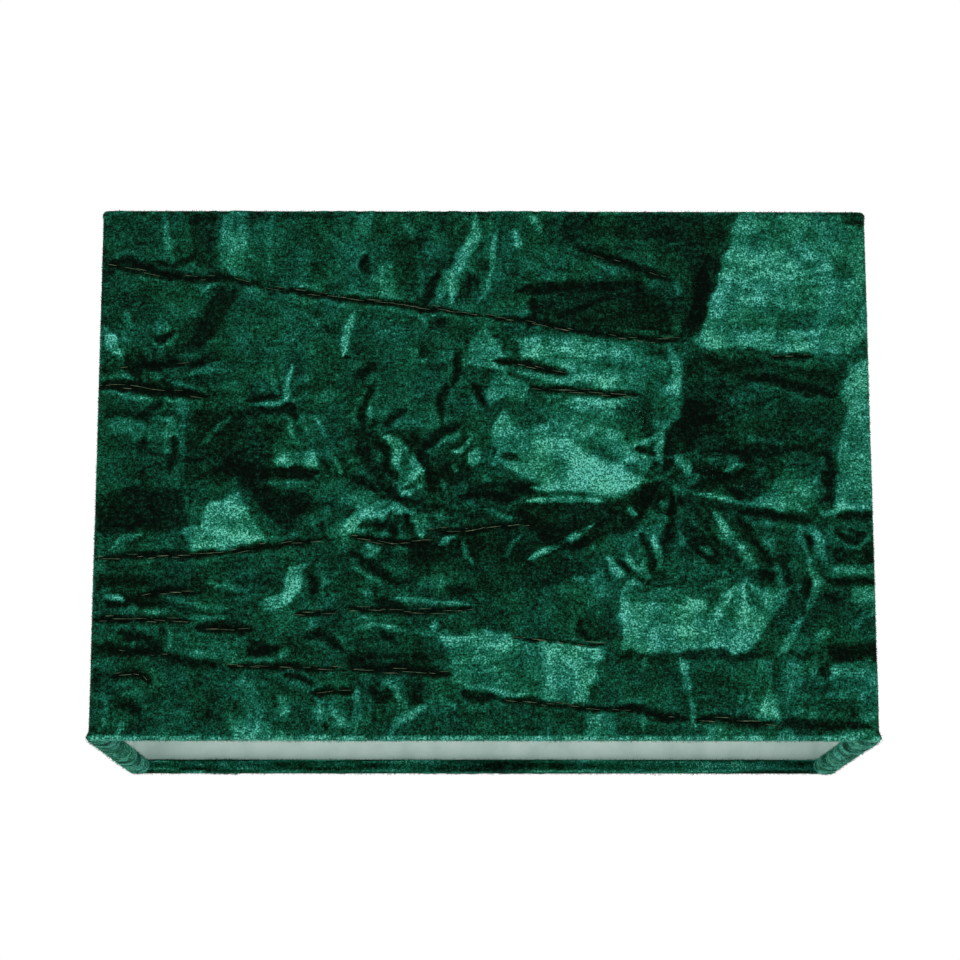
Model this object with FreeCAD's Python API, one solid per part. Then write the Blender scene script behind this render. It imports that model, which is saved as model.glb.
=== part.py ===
# Rectangular rolled-edge lampshade with a reversible gimbal fitter, in millimetres.
#
# Frame: +Z is up, and the shade stands on the foot of its bottom hem at Z = 0. The origin is the
# middle of the opening there. The front panel faces -Y and the long sides run along X.
#
# How the real one is built: crushed velvet is laminated to a stiff white lining, creased at four
# corners and closed by one overlapped seam at the back. A taped wire ring sits inside each end of
# the lining, and the velvet is rolled round the wire and tucked behind it. The top ring carries two
# pivot lugs. A bent-wire gimbal swings in them and holds the fitter washer and its reducer ring.
import FreeCAD
import Part

import math
import os

# Driving sizes of the shade.
WIDTH = 300.0
DEPTH = 142.0
HEIGHT = 208.0
CORNER_R = 6.5

# Thicknesses from the outside inwards, and the air left between two pieces that touch.
VELVET_T = 1.0
LINING_T = 0.5
TAPE_T = 0.25
WIRE_R = 1.7
GAP = 0.05
HEM_EDGE_R = 0.9

# Depths below the outer face, and heights above the foot of a hem.
LINING_U = VELVET_T + GAP
TAPE_U = LINING_U + LINING_T + GAP
WIRE_U = TAPE_U + TAPE_T + GAP + WIRE_R
WIRE_Z = VELVET_T + GAP + WIRE_R
HEM_OUTER_R = VELVET_T + GAP + WIRE_R
HEM_INNER_R = WIRE_R + GAP
HEM_U = WIRE_U + HEM_OUTER_R
TOP_WIRE_Z = HEIGHT - WIRE_Z

# The overlapped seam on the back panel, seen from behind as an upright band near one corner.
SEAM_X = -118.0
SEAM_W = 13.0
SEAM_RAMP = 7.0
SEAM_END = 1.0
SEAM_TAPE_W = 9.0
SEAM_TAPE_END = 8.0
SEAM_Y = DEPTH / 2 + GAP
FOLD_Y = SEAM_Y + TAPE_T + GAP
FOLD_TAPE_Y = FOLD_Y + VELVET_T + GAP
FLAP_LINING_Y = FOLD_TAPE_Y + TAPE_T + GAP
FLAP_SKIN_Y = FLAP_LINING_Y + LINING_T + GAP
FLAP_Y = FLAP_SKIN_Y + VELVET_T

# The gimbal, its lugs and the two rings in the middle.
LUG_W = 9.0
LUG_T = 1.5
LUG_TAB_Y = 57.0
LUG_DROP = 12.0
PIVOT_DROP = 8.0
PIVOT_Z = TOP_WIRE_Z - PIVOT_DROP
YOKE_R = 1.6
PIVOT_PLAY = 0.05
HEAD_R = 2.8
HEAD_T = 1.4
HEAD_PLAY = 0.4
YOKE_LEG_Y = 34.5
YOKE_BEND_R = 4.5
YOKE_DROP = 25.0
YOKE_FOOT_Y = 24.2
WASHER_BORE_R = 21.0
WASHER_R = 29.0
WASHER_T = 1.4
WASHER_COLLAR = 4.0
WASHER_LIP = 2.2
WASHER_Z = PIVOT_Z - YOKE_DROP
REDUCER_BORE_R = 14.5
REDUCER_FLANGE_R = 25.0
REDUCER_T = 1.5
REDUCER_PLAY = 0.1
REDUCER_DEPTH = 5.5
REDUCER_RIBS = 6
RIB_W = 1.2
RIB_DROP = 1.2

V = FreeCAD.Vector
UP = V(0, 0, 1)
ORIGIN = V(0, 0, 0)


def outline(edges):
    """A planar face from edges that follow each other."""
    return Part.Face(Part.Wire(edges))


def line(a, b):
    return Part.LineSegment(a, b).toShape()


def arc(a, through, b):
    return Part.Arc(a, through, b).toShape()


def polygon(points):
    """A planar face with straight edges through these points."""
    return Part.Face(Part.makePolygon([*points, points[0]]))


def joined(shapes):
    """One solid from shapes that touch or overlap."""
    return shapes[0].multiFuse(shapes[1:]).removeSplitter()


def slab(low, high):
    """A block between two opposite corners."""
    size = high - low
    return Part.makeBox(size.x, size.y, size.z, low)


def round_bar(start, direction, length, radius):
    return Part.makeCylinder(radius, length, start, direction)


def turned(points):
    """A solid of revolution about Z from (radius, z) points."""
    return polygon([V(r, 0, z) for r, z in points]).revolve(ORIGIN, UP, 360)


def round_the_shade(section):
    """Carries a section once round the shade: four straight sides and four corner bends.

    The section lies in the XZ plane, with X as the depth below the outer face."""
    parts = []
    for quarter in range(4):
        across, along = (DEPTH, WIDTH) if quarter % 2 == 0 else (WIDTH, DEPTH)
        run = along / 2 - CORNER_R
        face = section.copy()
        face.rotate(ORIGIN, UP, 90)
        face.translate(V(-run, -across / 2, 0))
        side = face.extrude(V(2 * run, 0, 0))
        face.translate(V(2 * run, 0, 0))
        bend = face.revolve(V(run, CORNER_R - across / 2, 0), UP, 90)
        for part in (side, bend):
            part.rotate(ORIGIN, UP, 90 * quarter)
            parts.append(part)
    return joined(parts)


def strip_section(u, thickness, low, high):
    return polygon([V(u, 0, low), V(u + thickness, 0, low), V(u + thickness, 0, high), V(u, 0, high)])


def velvet_section():
    """The wall of cloth with a rolled hem at each end: out, round the wire and back to the lining."""
    hem_height = WIRE_Z + HEM_OUTER_R
    hem_roof = WIRE_Z + HEM_INNER_R
    hem_floor = WIRE_Z - HEM_INNER_R
    edge_mid = HEM_EDGE_R * (1 - math.sqrt(0.5))

    def hem(z_of):
        """Edges of one hem, from the outer face round to the inside of the wall."""

        def p(u, z):
            return V(u, 0, z_of(z))

        return [
            arc(p(0, HEM_EDGE_R), p(edge_mid, edge_mid), p(HEM_EDGE_R, 0)),
            line(p(HEM_EDGE_R, 0), p(WIRE_U, 0)),
            arc(p(WIRE_U, 0), p(HEM_U, WIRE_Z), p(WIRE_U, hem_height)),
            line(p(WIRE_U, hem_height), p(TAPE_U, hem_height)),
            line(p(TAPE_U, hem_height), p(TAPE_U, hem_roof)),
            line(p(TAPE_U, hem_roof), p(WIRE_U, hem_roof)),
            arc(p(WIRE_U, hem_roof), p(WIRE_U + HEM_INNER_R, WIRE_Z), p(WIRE_U, hem_floor)),
            line(p(WIRE_U, hem_floor), p(VELVET_T, hem_floor)),
        ]

    bottom = hem(lambda z: z)
    top = hem(lambda z: HEIGHT - z)
    inner_wall = line(V(VELVET_T, 0, hem_floor), V(VELVET_T, 0, HEIGHT - hem_floor))
    outer_wall = line(V(0, 0, HEIGHT - HEM_EDGE_R), V(0, 0, HEM_EDGE_R))
    return outline([*bottom, inner_wall, *reversed(top), outer_wall])


def seam_flap():
    """The free end of the cloth: it climbs over the starting end and folds back round its lining."""
    start, end = SEAM_X, SEAM_X + SEAM_W
    wall = DEPTH / 2 - VELVET_T / 2
    fold_end = end - VELVET_T
    path = [
        (start - SEAM_RAMP, wall),
        (start - SEAM_RAMP, DEPTH / 2),
        (start, FLAP_Y),
        (end - HEM_EDGE_R, FLAP_Y),
        (end, FLAP_Y - HEM_EDGE_R),
        (end, FOLD_Y),
        (start + VELVET_T, FOLD_Y),
        (start + VELVET_T, FOLD_Y + VELVET_T),
        (fold_end, FOLD_Y + VELVET_T),
        (fold_end, FLAP_SKIN_Y),
        (start, FLAP_SKIN_Y),
        (start, wall),
    ]
    section = polygon([V(x, y, SEAM_END) for x, y in path])
    return section.extrude(UP * (HEIGHT - 2 * SEAM_END))


def velvet_cover():
    tube = joined([round_the_shade(velvet_section()), seam_flap()])
    for side in (-1, 1):
        tube = tube.cut(lug_slot(side))
    return tube


def lug_slot(side):
    """The slit in the top hem that a pivot lug comes out through."""
    half_w = LUG_W / 2 + GAP
    half_t = LUG_T / 2 + GAP
    inner = DEPTH / 2 - HEM_U - 1
    outer = DEPTH / 2 - WIRE_U
    low_y, high_y = sorted((side * inner, side * outer))
    return slab(V(-half_w, low_y, TOP_WIRE_Z - half_t), V(half_w, high_y, TOP_WIRE_Z + half_t))


def lining_panel():
    """The stiff lining, and the end of it that lies inside the overlapped flap."""
    wall = round_the_shade(strip_section(LINING_U, LINING_T, LINING_U, HEIGHT - LINING_U))
    start = SEAM_X + VELVET_T
    end = SEAM_X + SEAM_W - VELVET_T - GAP
    low_z, high_z = SEAM_END + GAP, HEIGHT - SEAM_END - GAP
    flap_end = slab(V(start, FLAP_LINING_Y, low_z), V(end, FLAP_LINING_Y + LINING_T, high_z))
    return Part.makeCompound([wall, flap_end])


def upright_tape(y):
    """A strip of double-sided tape in the seam, its near face at y."""
    middle = SEAM_X + SEAM_W / 2
    low = V(middle - SEAM_TAPE_W / 2, y, SEAM_TAPE_END)
    high = V(middle + SEAM_TAPE_W / 2, y + TAPE_T, HEIGHT - SEAM_TAPE_END)
    return slab(low, high)


def wire_ring(z):
    circle = Part.Circle(V(WIRE_U, 0, z), V(0, 1, 0), WIRE_R).toShape()
    return round_the_shade(Part.Face(Part.Wire(circle)))


def ring_tape(z):
    """Double-sided tape between a wire ring and the lining."""
    return round_the_shade(strip_section(TAPE_U, TAPE_T, z - WIRE_R, z + WIRE_R))


def pivot_lug(side):
    """A strip welded to the top ring: a level leg through the hem, then a tab with the pivot hole."""
    leg_outer = DEPTH / 2 - WIRE_U - WIRE_R / 2
    tab_outer = LUG_TAB_Y + LUG_T
    half_w, half_t = LUG_W / 2, LUG_T / 2
    leg = slab(V(-half_w, LUG_TAB_Y, TOP_WIRE_Z - half_t), V(half_w, leg_outer, TOP_WIRE_Z + half_t))
    tab = slab(V(-half_w, LUG_TAB_Y, TOP_WIRE_Z - LUG_DROP), V(half_w, tab_outer, TOP_WIRE_Z + half_t))
    lug = joined([leg, tab])
    bend = [e for e in lug.Edges if is_bend_edge(e)]
    lug = lug.makeFillet(LUG_T * 0.9, bend)
    foot = [e for e in lug.Edges if is_tab_corner(e)]
    lug = lug.makeFillet(half_w * 0.7, foot)
    lug = lug.cut(round_bar(V(0, LUG_TAB_Y - 1, PIVOT_Z), V(0, 1, 0), LUG_T + 2, YOKE_R + PIVOT_PLAY))
    ring_wire = round_bar(V(-half_w - 1, DEPTH / 2 - WIRE_U, TOP_WIRE_Z), V(1, 0, 0), LUG_W + 2, WIRE_R)
    lug = lug.cut(ring_wire)
    if side < 0:
        lug = lug.mirror(ORIGIN, V(0, 1, 0))
    return lug


def is_bend_edge(edge):
    """The outer edge where the leg turns down into the tab."""
    outer_edge = V(0, LUG_TAB_Y, TOP_WIRE_Z + LUG_T / 2)
    return edge.CenterOfMass.distanceToPoint(outer_edge) < GAP


def is_tab_corner(edge):
    """The two lower corners of the tab."""
    middle = edge.CenterOfMass
    low = abs(middle.z - (TOP_WIRE_Z - LUG_DROP)) < GAP
    return low and abs(abs(middle.x) - LUG_W / 2) < GAP


def bent_wire(points, bend_r, wire_r):
    """A round wire along straight runs, with an arc of bend_r at each inner point."""
    edges = []
    here = points[0]
    for before, corner, after in zip(points, points[1:], points[2:]):
        back = (before - corner).normalize()
        ahead = (after - corner).normalize()
        half_turn = back.getAngle(ahead) / 2
        start = corner + back * (bend_r / math.tan(half_turn))
        end = corner + ahead * (bend_r / math.tan(half_turn))
        inward = (back + ahead).normalize()
        middle = corner + inward * (bend_r / math.sin(half_turn) - bend_r)
        edges += [line(here, start), arc(start, middle, end)]
        here = end
    edges.append(line(here, points[-1]))
    circle = Part.Circle(points[0], points[1] - points[0], wire_r).toShape()
    return Part.Wire(edges).makePipeShell([Part.Wire(circle)], True, True)


def yoke_wire(side):
    """Half of the gimbal: an upset head, the axle in the lug, a leg down, and a foot on the washer."""
    foot_z = WASHER_Z - YOKE_R
    head_inner = LUG_TAB_Y + LUG_T + HEAD_PLAY
    path = [
        V(0, head_inner + HEAD_T / 2, PIVOT_Z),
        V(0, YOKE_LEG_Y, PIVOT_Z),
        V(0, YOKE_LEG_Y, foot_z),
        V(0, YOKE_FOOT_Y, foot_z),
    ]
    wire = bent_wire(path, YOKE_BEND_R, YOKE_R)
    head = round_bar(V(0, head_inner, PIVOT_Z), V(0, 1, 0), HEAD_T, HEAD_R)
    yoke = joined([wire, head])
    if side < 0:
        yoke = yoke.mirror(ORIGIN, V(0, 1, 0))
    return yoke


def fitter_washer():
    """A pressed steel ring with a deep collar at the bore and a shallow lip outside."""
    top, under = WASHER_Z + WASHER_T, WASHER_Z
    collar_r = WASHER_BORE_R + WASHER_T
    lip_r = WASHER_R - WASHER_T
    return turned(
        [
            (WASHER_BORE_R, under - WASHER_COLLAR),
            (collar_r, under - WASHER_COLLAR),
            (collar_r, under),
            (WASHER_R, under),
            (WASHER_R, under + WASHER_LIP),
            (lip_r, under + WASHER_LIP),
            (lip_r, top),
            (WASHER_BORE_R, top),
        ]
    )


def reducer_ring():
    """A moulded ring that drops into the washer and makes its hole smaller."""
    seat = WASHER_Z + WASHER_T + GAP
    top, bottom = seat + REDUCER_T, seat + REDUCER_T - REDUCER_DEPTH
    sleeve_r = WASHER_BORE_R - REDUCER_PLAY
    sleeve_in_r = sleeve_r - REDUCER_T
    collar_r = REDUCER_BORE_R + REDUCER_T
    web_top = bottom + REDUCER_T
    ring = turned(
        [
            (REDUCER_BORE_R, bottom),
            (sleeve_r, bottom),
            (sleeve_r, seat),
            (REDUCER_FLANGE_R, seat),
            (REDUCER_FLANGE_R, top),
            (sleeve_in_r, top),
            (sleeve_in_r, web_top),
            (collar_r, web_top),
            (collar_r, top),
            (REDUCER_BORE_R, top),
        ]
    )
    ribs = []
    for k in range(REDUCER_RIBS):
        low = V(collar_r - GAP, -RIB_W / 2, web_top - GAP)
        high = V(sleeve_in_r + GAP, RIB_W / 2, top - RIB_DROP)
        rib = slab(low, high)
        rib.rotate(ORIGIN, UP, 360 / REDUCER_RIBS * (k + 0.5))
        ribs.append(rib)
    return joined([ring, *ribs])


NODES = {
    "velvet_cover": velvet_cover,
    "lining_panel": lining_panel,
    "seam_tape": lambda: upright_tape(SEAM_Y),
    "fold_tape": lambda: upright_tape(FOLD_TAPE_Y),
    "bottom_ring": lambda: wire_ring(WIRE_Z),
    "top_ring": lambda: wire_ring(TOP_WIRE_Z),
    "bottom_ring_tape": lambda: ring_tape(WIRE_Z),
    "top_ring_tape": lambda: ring_tape(TOP_WIRE_Z),
    "pivot_lug_front": lambda: pivot_lug(-1),
    "pivot_lug_back": lambda: pivot_lug(1),
    "yoke_wire_front": lambda: yoke_wire(-1),
    "yoke_wire_back": lambda: yoke_wire(1),
    "fitter_washer": fitter_washer,
    "reducer_ring": reducer_ring,
}


def main():
    os.makedirs("parts", exist_ok=True)
    for name, make in NODES.items():
        shape = make()
        box = shape.BoundBox
        print(
            f"{name}: {len(shape.Solids)} solid(s), valid {shape.isValid()}, {shape.Volume:.0f} mm3, "
            f"X {box.XMin:.2f}..{box.XMax:.2f} Y {box.YMin:.2f}..{box.YMax:.2f} Z {box.ZMin:.2f}..{box.ZMax:.2f}"
        )
        shape.exportStep(f"parts/{name}.step")


main()
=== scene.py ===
# %% [markdown]
# # A crushed velvet lampshade
#
# This notebook dresses a rectangular lampshade. The design, its sizes and its moving parts come
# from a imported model, which is loaded first and stays as it is. Blender adds what cloth, pile,
# paint and plastic look like. Lengths are metres, and `MM` turns millimetres into them.

# %% Load the frame
import math

import bpy
import numpy as np
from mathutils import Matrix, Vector


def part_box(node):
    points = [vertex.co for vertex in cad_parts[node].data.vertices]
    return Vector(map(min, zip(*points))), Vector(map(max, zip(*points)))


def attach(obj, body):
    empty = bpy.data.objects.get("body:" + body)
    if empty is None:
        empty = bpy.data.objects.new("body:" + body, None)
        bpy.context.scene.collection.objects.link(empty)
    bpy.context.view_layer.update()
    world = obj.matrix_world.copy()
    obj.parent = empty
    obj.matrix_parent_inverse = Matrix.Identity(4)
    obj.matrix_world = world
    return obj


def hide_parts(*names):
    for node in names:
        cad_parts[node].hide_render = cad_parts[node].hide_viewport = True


MM = 0.001
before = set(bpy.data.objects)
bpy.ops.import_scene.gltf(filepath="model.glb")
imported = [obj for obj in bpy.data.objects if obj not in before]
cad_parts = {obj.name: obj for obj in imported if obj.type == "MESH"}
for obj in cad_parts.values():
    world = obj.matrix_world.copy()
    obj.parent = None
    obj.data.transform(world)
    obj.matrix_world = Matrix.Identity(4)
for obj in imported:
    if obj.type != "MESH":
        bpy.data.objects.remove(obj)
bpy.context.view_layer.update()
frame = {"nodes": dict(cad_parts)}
cover_low, cover_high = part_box("velvet_cover")
WIDTH = cover_high.x - cover_low.x
DEPTH = -2 * cover_low.y
HEIGHT = cover_high.z
print(f"shade {WIDTH / MM:.0f} x {DEPTH / MM:.0f} x {HEIGHT / MM:.0f} mm, nodes: {', '.join(frame['nodes'])}")

# %% [markdown]
# ## The camera and the studio
#
# A shade like this is looked at from a little below, the way it hangs, with a long lens that keeps
# its sides nearly parallel. The floor is a good way under it, so that it stays out of sight from
# there and still catches a soft shadow from other angles. The light is a white room with a large
# soft source on each side: velvet needs broad light, because each fibre is a tiny mirror.

# %% Camera
CAMERA_AT = Vector((-0.0074, -1.0745, -0.1035))
CAMERA_TILT_UP = math.radians(11.47)
CAMERA_TURN = math.radians(-0.33)
LENS_MM = 99.6

bpy.ops.object.select_all(action="DESELECT")
bpy.ops.object.camera_add(location=CAMERA_AT, rotation=(math.pi / 2 + CAMERA_TILT_UP, 0, CAMERA_TURN))
camera = bpy.context.object
camera.data.lens = LENS_MM
bpy.context.scene.camera = camera
print("camera", tuple(round(v, 4) for v in camera.location), f"lens {LENS_MM} mm")

# %% Floor and light
FLOOR_Z = -1.35
FLOOR_R = 14.0
ROOM_STRENGTH = 0.82
WHITE_LEVEL = 1.02
SOFTBOX_SIZE = 1.2
SOFTBOXES = [
    # (name, place in metres, watts)
    ("window_left", (-1.5, -1.5, 1.0), 16),
    ("window_right", (1.7, -1.2, 0.6), 9),
    ("window_back", (0.6, 1.8, 1.1), 12),
]


def srgb(code):
    """A hex colour as Blender's linear red, green, blue and alpha."""
    parts = [int(code[i : i + 2], 16) / 255 for i in (1, 3, 5)]
    return (*(v / 12.92 if v <= 0.04045 else ((v + 0.055) / 1.055) ** 2.4 for v in parts), 1.0)


def set_stops(ramp, tones):
    """Gives a colour ramp its (place, hex colour) stops."""
    while len(ramp.elements) < len(tones):
        ramp.elements.new(0.5)
    for stop, (place, code) in zip(ramp.elements, tones):
        stop.position = place
        stop.color = srgb(code)


def add_node(tree, kind, settings=None, **inputs):
    """Adds a shader node. Settings are its own properties, and stops are the colours of its ramp. Inputs
    are values, or sockets or nodes to link: a node gives its first output."""
    node = tree.nodes.new(kind)
    for name, value in (settings or {}).items():
        if name == "stops":
            set_stops(node.color_ramp, value)
        else:
            setattr(node, name, value)
    for name, value in inputs.items():
        socket = node.inputs[int(name[1:])] if name[0] == "_" else node.inputs[name.replace("_", " ")]
        if isinstance(value, bpy.types.Node):
            value = value.outputs[0]
        if isinstance(value, bpy.types.NodeSocket):
            tree.links.new(value, socket)
        else:
            socket.default_value = value
    return node


def new_material(name):
    """An empty node material and its tree."""
    made = bpy.data.materials.new(name)
    made.use_nodes = True
    made.node_tree.nodes.clear()
    return made, made.node_tree


def studio_paint():
    """Matt white wall paint: nearly all diffuse, so that it only carries the shadow."""
    made, tree = new_material("matt_white_emulsion")
    shader = add_node(tree, "ShaderNodeBsdfDiffuse", Color=srgb("#E9E9E7"))
    add_node(tree, "ShaderNodeOutputMaterial", Surface=shader)
    return made


def softbox(name, place, power):
    """A square lamp that faces the middle of the shade."""
    bpy.ops.object.light_add(type="AREA", location=place)
    lamp = bpy.context.object
    lamp.name = name
    lamp.data.size = SOFTBOX_SIZE
    lamp.data.energy = power
    aim = Vector((0, 0, HEIGHT / 2)) - Vector(place)
    lamp.rotation_euler = aim.to_track_quat("-Z", "Y").to_euler()


bpy.ops.mesh.primitive_circle_add(vertices=96, radius=FLOOR_R, fill_type="NGON", location=(0, 0, FLOOR_Z))
floor = bpy.context.object
floor.name = "floor"
floor.data.materials.append(studio_paint())
for row in SOFTBOXES:
    softbox(*row)

room = bpy.data.worlds.new("white_room")
room.use_nodes = True
room.node_tree.nodes["Background"].inputs["Color"].default_value = (1, 1, 1, 1)
room.node_tree.nodes["Background"].inputs["Strength"].default_value = ROOM_STRENGTH
bpy.context.scene.world = room
bpy.context.scene.view_settings.view_transform = "Standard"
bpy.context.scene.view_settings.exposure = math.log2(WHITE_LEVEL / ROOM_STRENGTH)
print("floor", FLOOR_Z, "m,", len(SOFTBOXES), "soft lamps, room strength", ROOM_STRENGTH)

# %% [markdown]
# ## The velvet cover
#
# On the real shade the cover is one strip of cloth. It is cut flat, crushed under steam so that its
# pile lies in a different direction in every fold, glued to the stiff lining, bent round four
# corners, overlapped at the back, and rolled over a wire at each end. It could be a cloth
# simulation, but glued cloth doesn't hang or move. So it is made in the maker's order: a flat grid of
# the size it was cut to, the crush worked out on the flat cloth, and then every point moved to its
# place round the shade. `across` is measured along the strip from the middle of the front panel, and
# `up` is measured up the wall.

# %% The way round the shade
CORNER_R = 6.5 * MM
HALF_RUN = WIDTH / 2 - CORNER_R
SIDE_RUN = DEPTH - 2 * CORNER_R
BEND = CORNER_R * math.pi / 2
BACK_AT = HALF_RUN + 2 * BEND + SIDE_RUN

SEAM_X = -118 * MM
SEAM_W = 13 * MM
SEAM_RAMP = 7 * MM
SEAM_RISE = cover_high.y - DEPTH / 2
SEAM_CLEAR = 0.35 * MM
UNDER_SHORT = 3 * MM
FOLD_R = (SEAM_RISE - SEAM_CLEAR) / 2

START = BACK_AT + HALF_RUN - SEAM_X
FOLD = BACK_AT + HALF_RUN + SEAM_X + SEAM_W - FOLD_R
END = FOLD + math.pi * FOLD_R + SEAM_W - UNDER_SHORT


def smooth(low, high, value):
    """0 below low, 1 above high, and an easy curve between."""
    t = np.clip((value - low) / (high - low), 0, 1)
    return t * t * (3 - 2 * t)


def way_round(across):
    """The place and the outward direction on the shade's outline, seen from above."""
    side, far = np.sign(across), np.abs(across)
    ahead = np.clip(far, 0, HALF_RUN)
    first = np.clip(far - HALF_RUN, 0, BEND) / CORNER_R
    along = np.clip(far - HALF_RUN - BEND, 0, SIDE_RUN)
    second = np.clip(far - BACK_AT + BEND, 0, BEND) / CORNER_R
    behind = np.maximum(far - BACK_AT, 0)
    x = ahead + CORNER_R * np.sin(first) - CORNER_R * (1 - np.cos(second)) - behind
    y = -DEPTH / 2 + CORNER_R * (1 - np.cos(first)) + along + CORNER_R * np.sin(second)
    turn = first + second
    return np.stack([side * x, y], 1), np.stack([side * np.sin(turn), -np.cos(turn)], 1)


print(f"outline {2 * (BACK_AT + HALF_RUN) / MM:.1f} mm round, strip {(START + END) / MM:.1f} mm long")

# %% The rolled hem
HEM_R = 2.75 * MM
HEM_DEPTH = 3.6 * MM
EDGE_R = 0.9 * MM
TUCK = 1.5 * MM
END_DEPTH = 1.68 * MM
HEM_STEPS = 40


def bottom_hem():
    """(depth, height) points from the tucked end, round the wire, to the foot of the wall."""
    meet = math.acos(-(HEM_DEPTH - END_DEPTH) / HEM_R)
    roll = np.linspace(meet, -math.pi / 2, HEM_STEPS)
    edge = np.linspace(-math.pi / 2, -math.pi, HEM_STEPS // 4)
    points = [(HEM_DEPTH + HEM_R * math.cos(a), HEM_R + HEM_R * math.sin(a)) for a in roll]
    points += [(EDGE_R + EDGE_R * math.cos(a), EDGE_R + EDGE_R * math.sin(a)) for a in edge]
    return np.array([(points[0][0], points[0][1] - TUCK), *points])


def lengths_along(line):
    """How far each point of a line is from its start."""
    return np.concatenate([[0], np.cumsum(np.linalg.norm(np.diff(line, axis=0), axis=1))])


HEM_LINE = bottom_hem()
HEM_CUT = lengths_along(HEM_LINE)[-1]
UP_LOW, UP_HIGH = EDGE_R - HEM_CUT, HEIGHT - EDGE_R + HEM_CUT


def section(up):
    """(depth, height) of each point of the strip. Between the two hems the wall is straight."""
    from_foot = np.where(up < HEIGHT / 2, up, HEIGHT - up)
    at = np.clip(from_foot - UP_LOW, 0, HEM_CUT)
    marks = lengths_along(HEM_LINE)
    depth = np.interp(at, marks, HEM_LINE[:, 0])
    height = np.interp(at, marks, HEM_LINE[:, 1]) + np.maximum(from_foot - EDGE_R, 0)
    return depth, np.where(up < HEIGHT / 2, height, HEIGHT - height)


print(f"cloth is cut {(START + END) / MM:.0f} x {(UP_HIGH - UP_LOW) / MM:.0f} mm")
print(f"hem turn-in {HEM_CUT / MM:.1f} mm")
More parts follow.
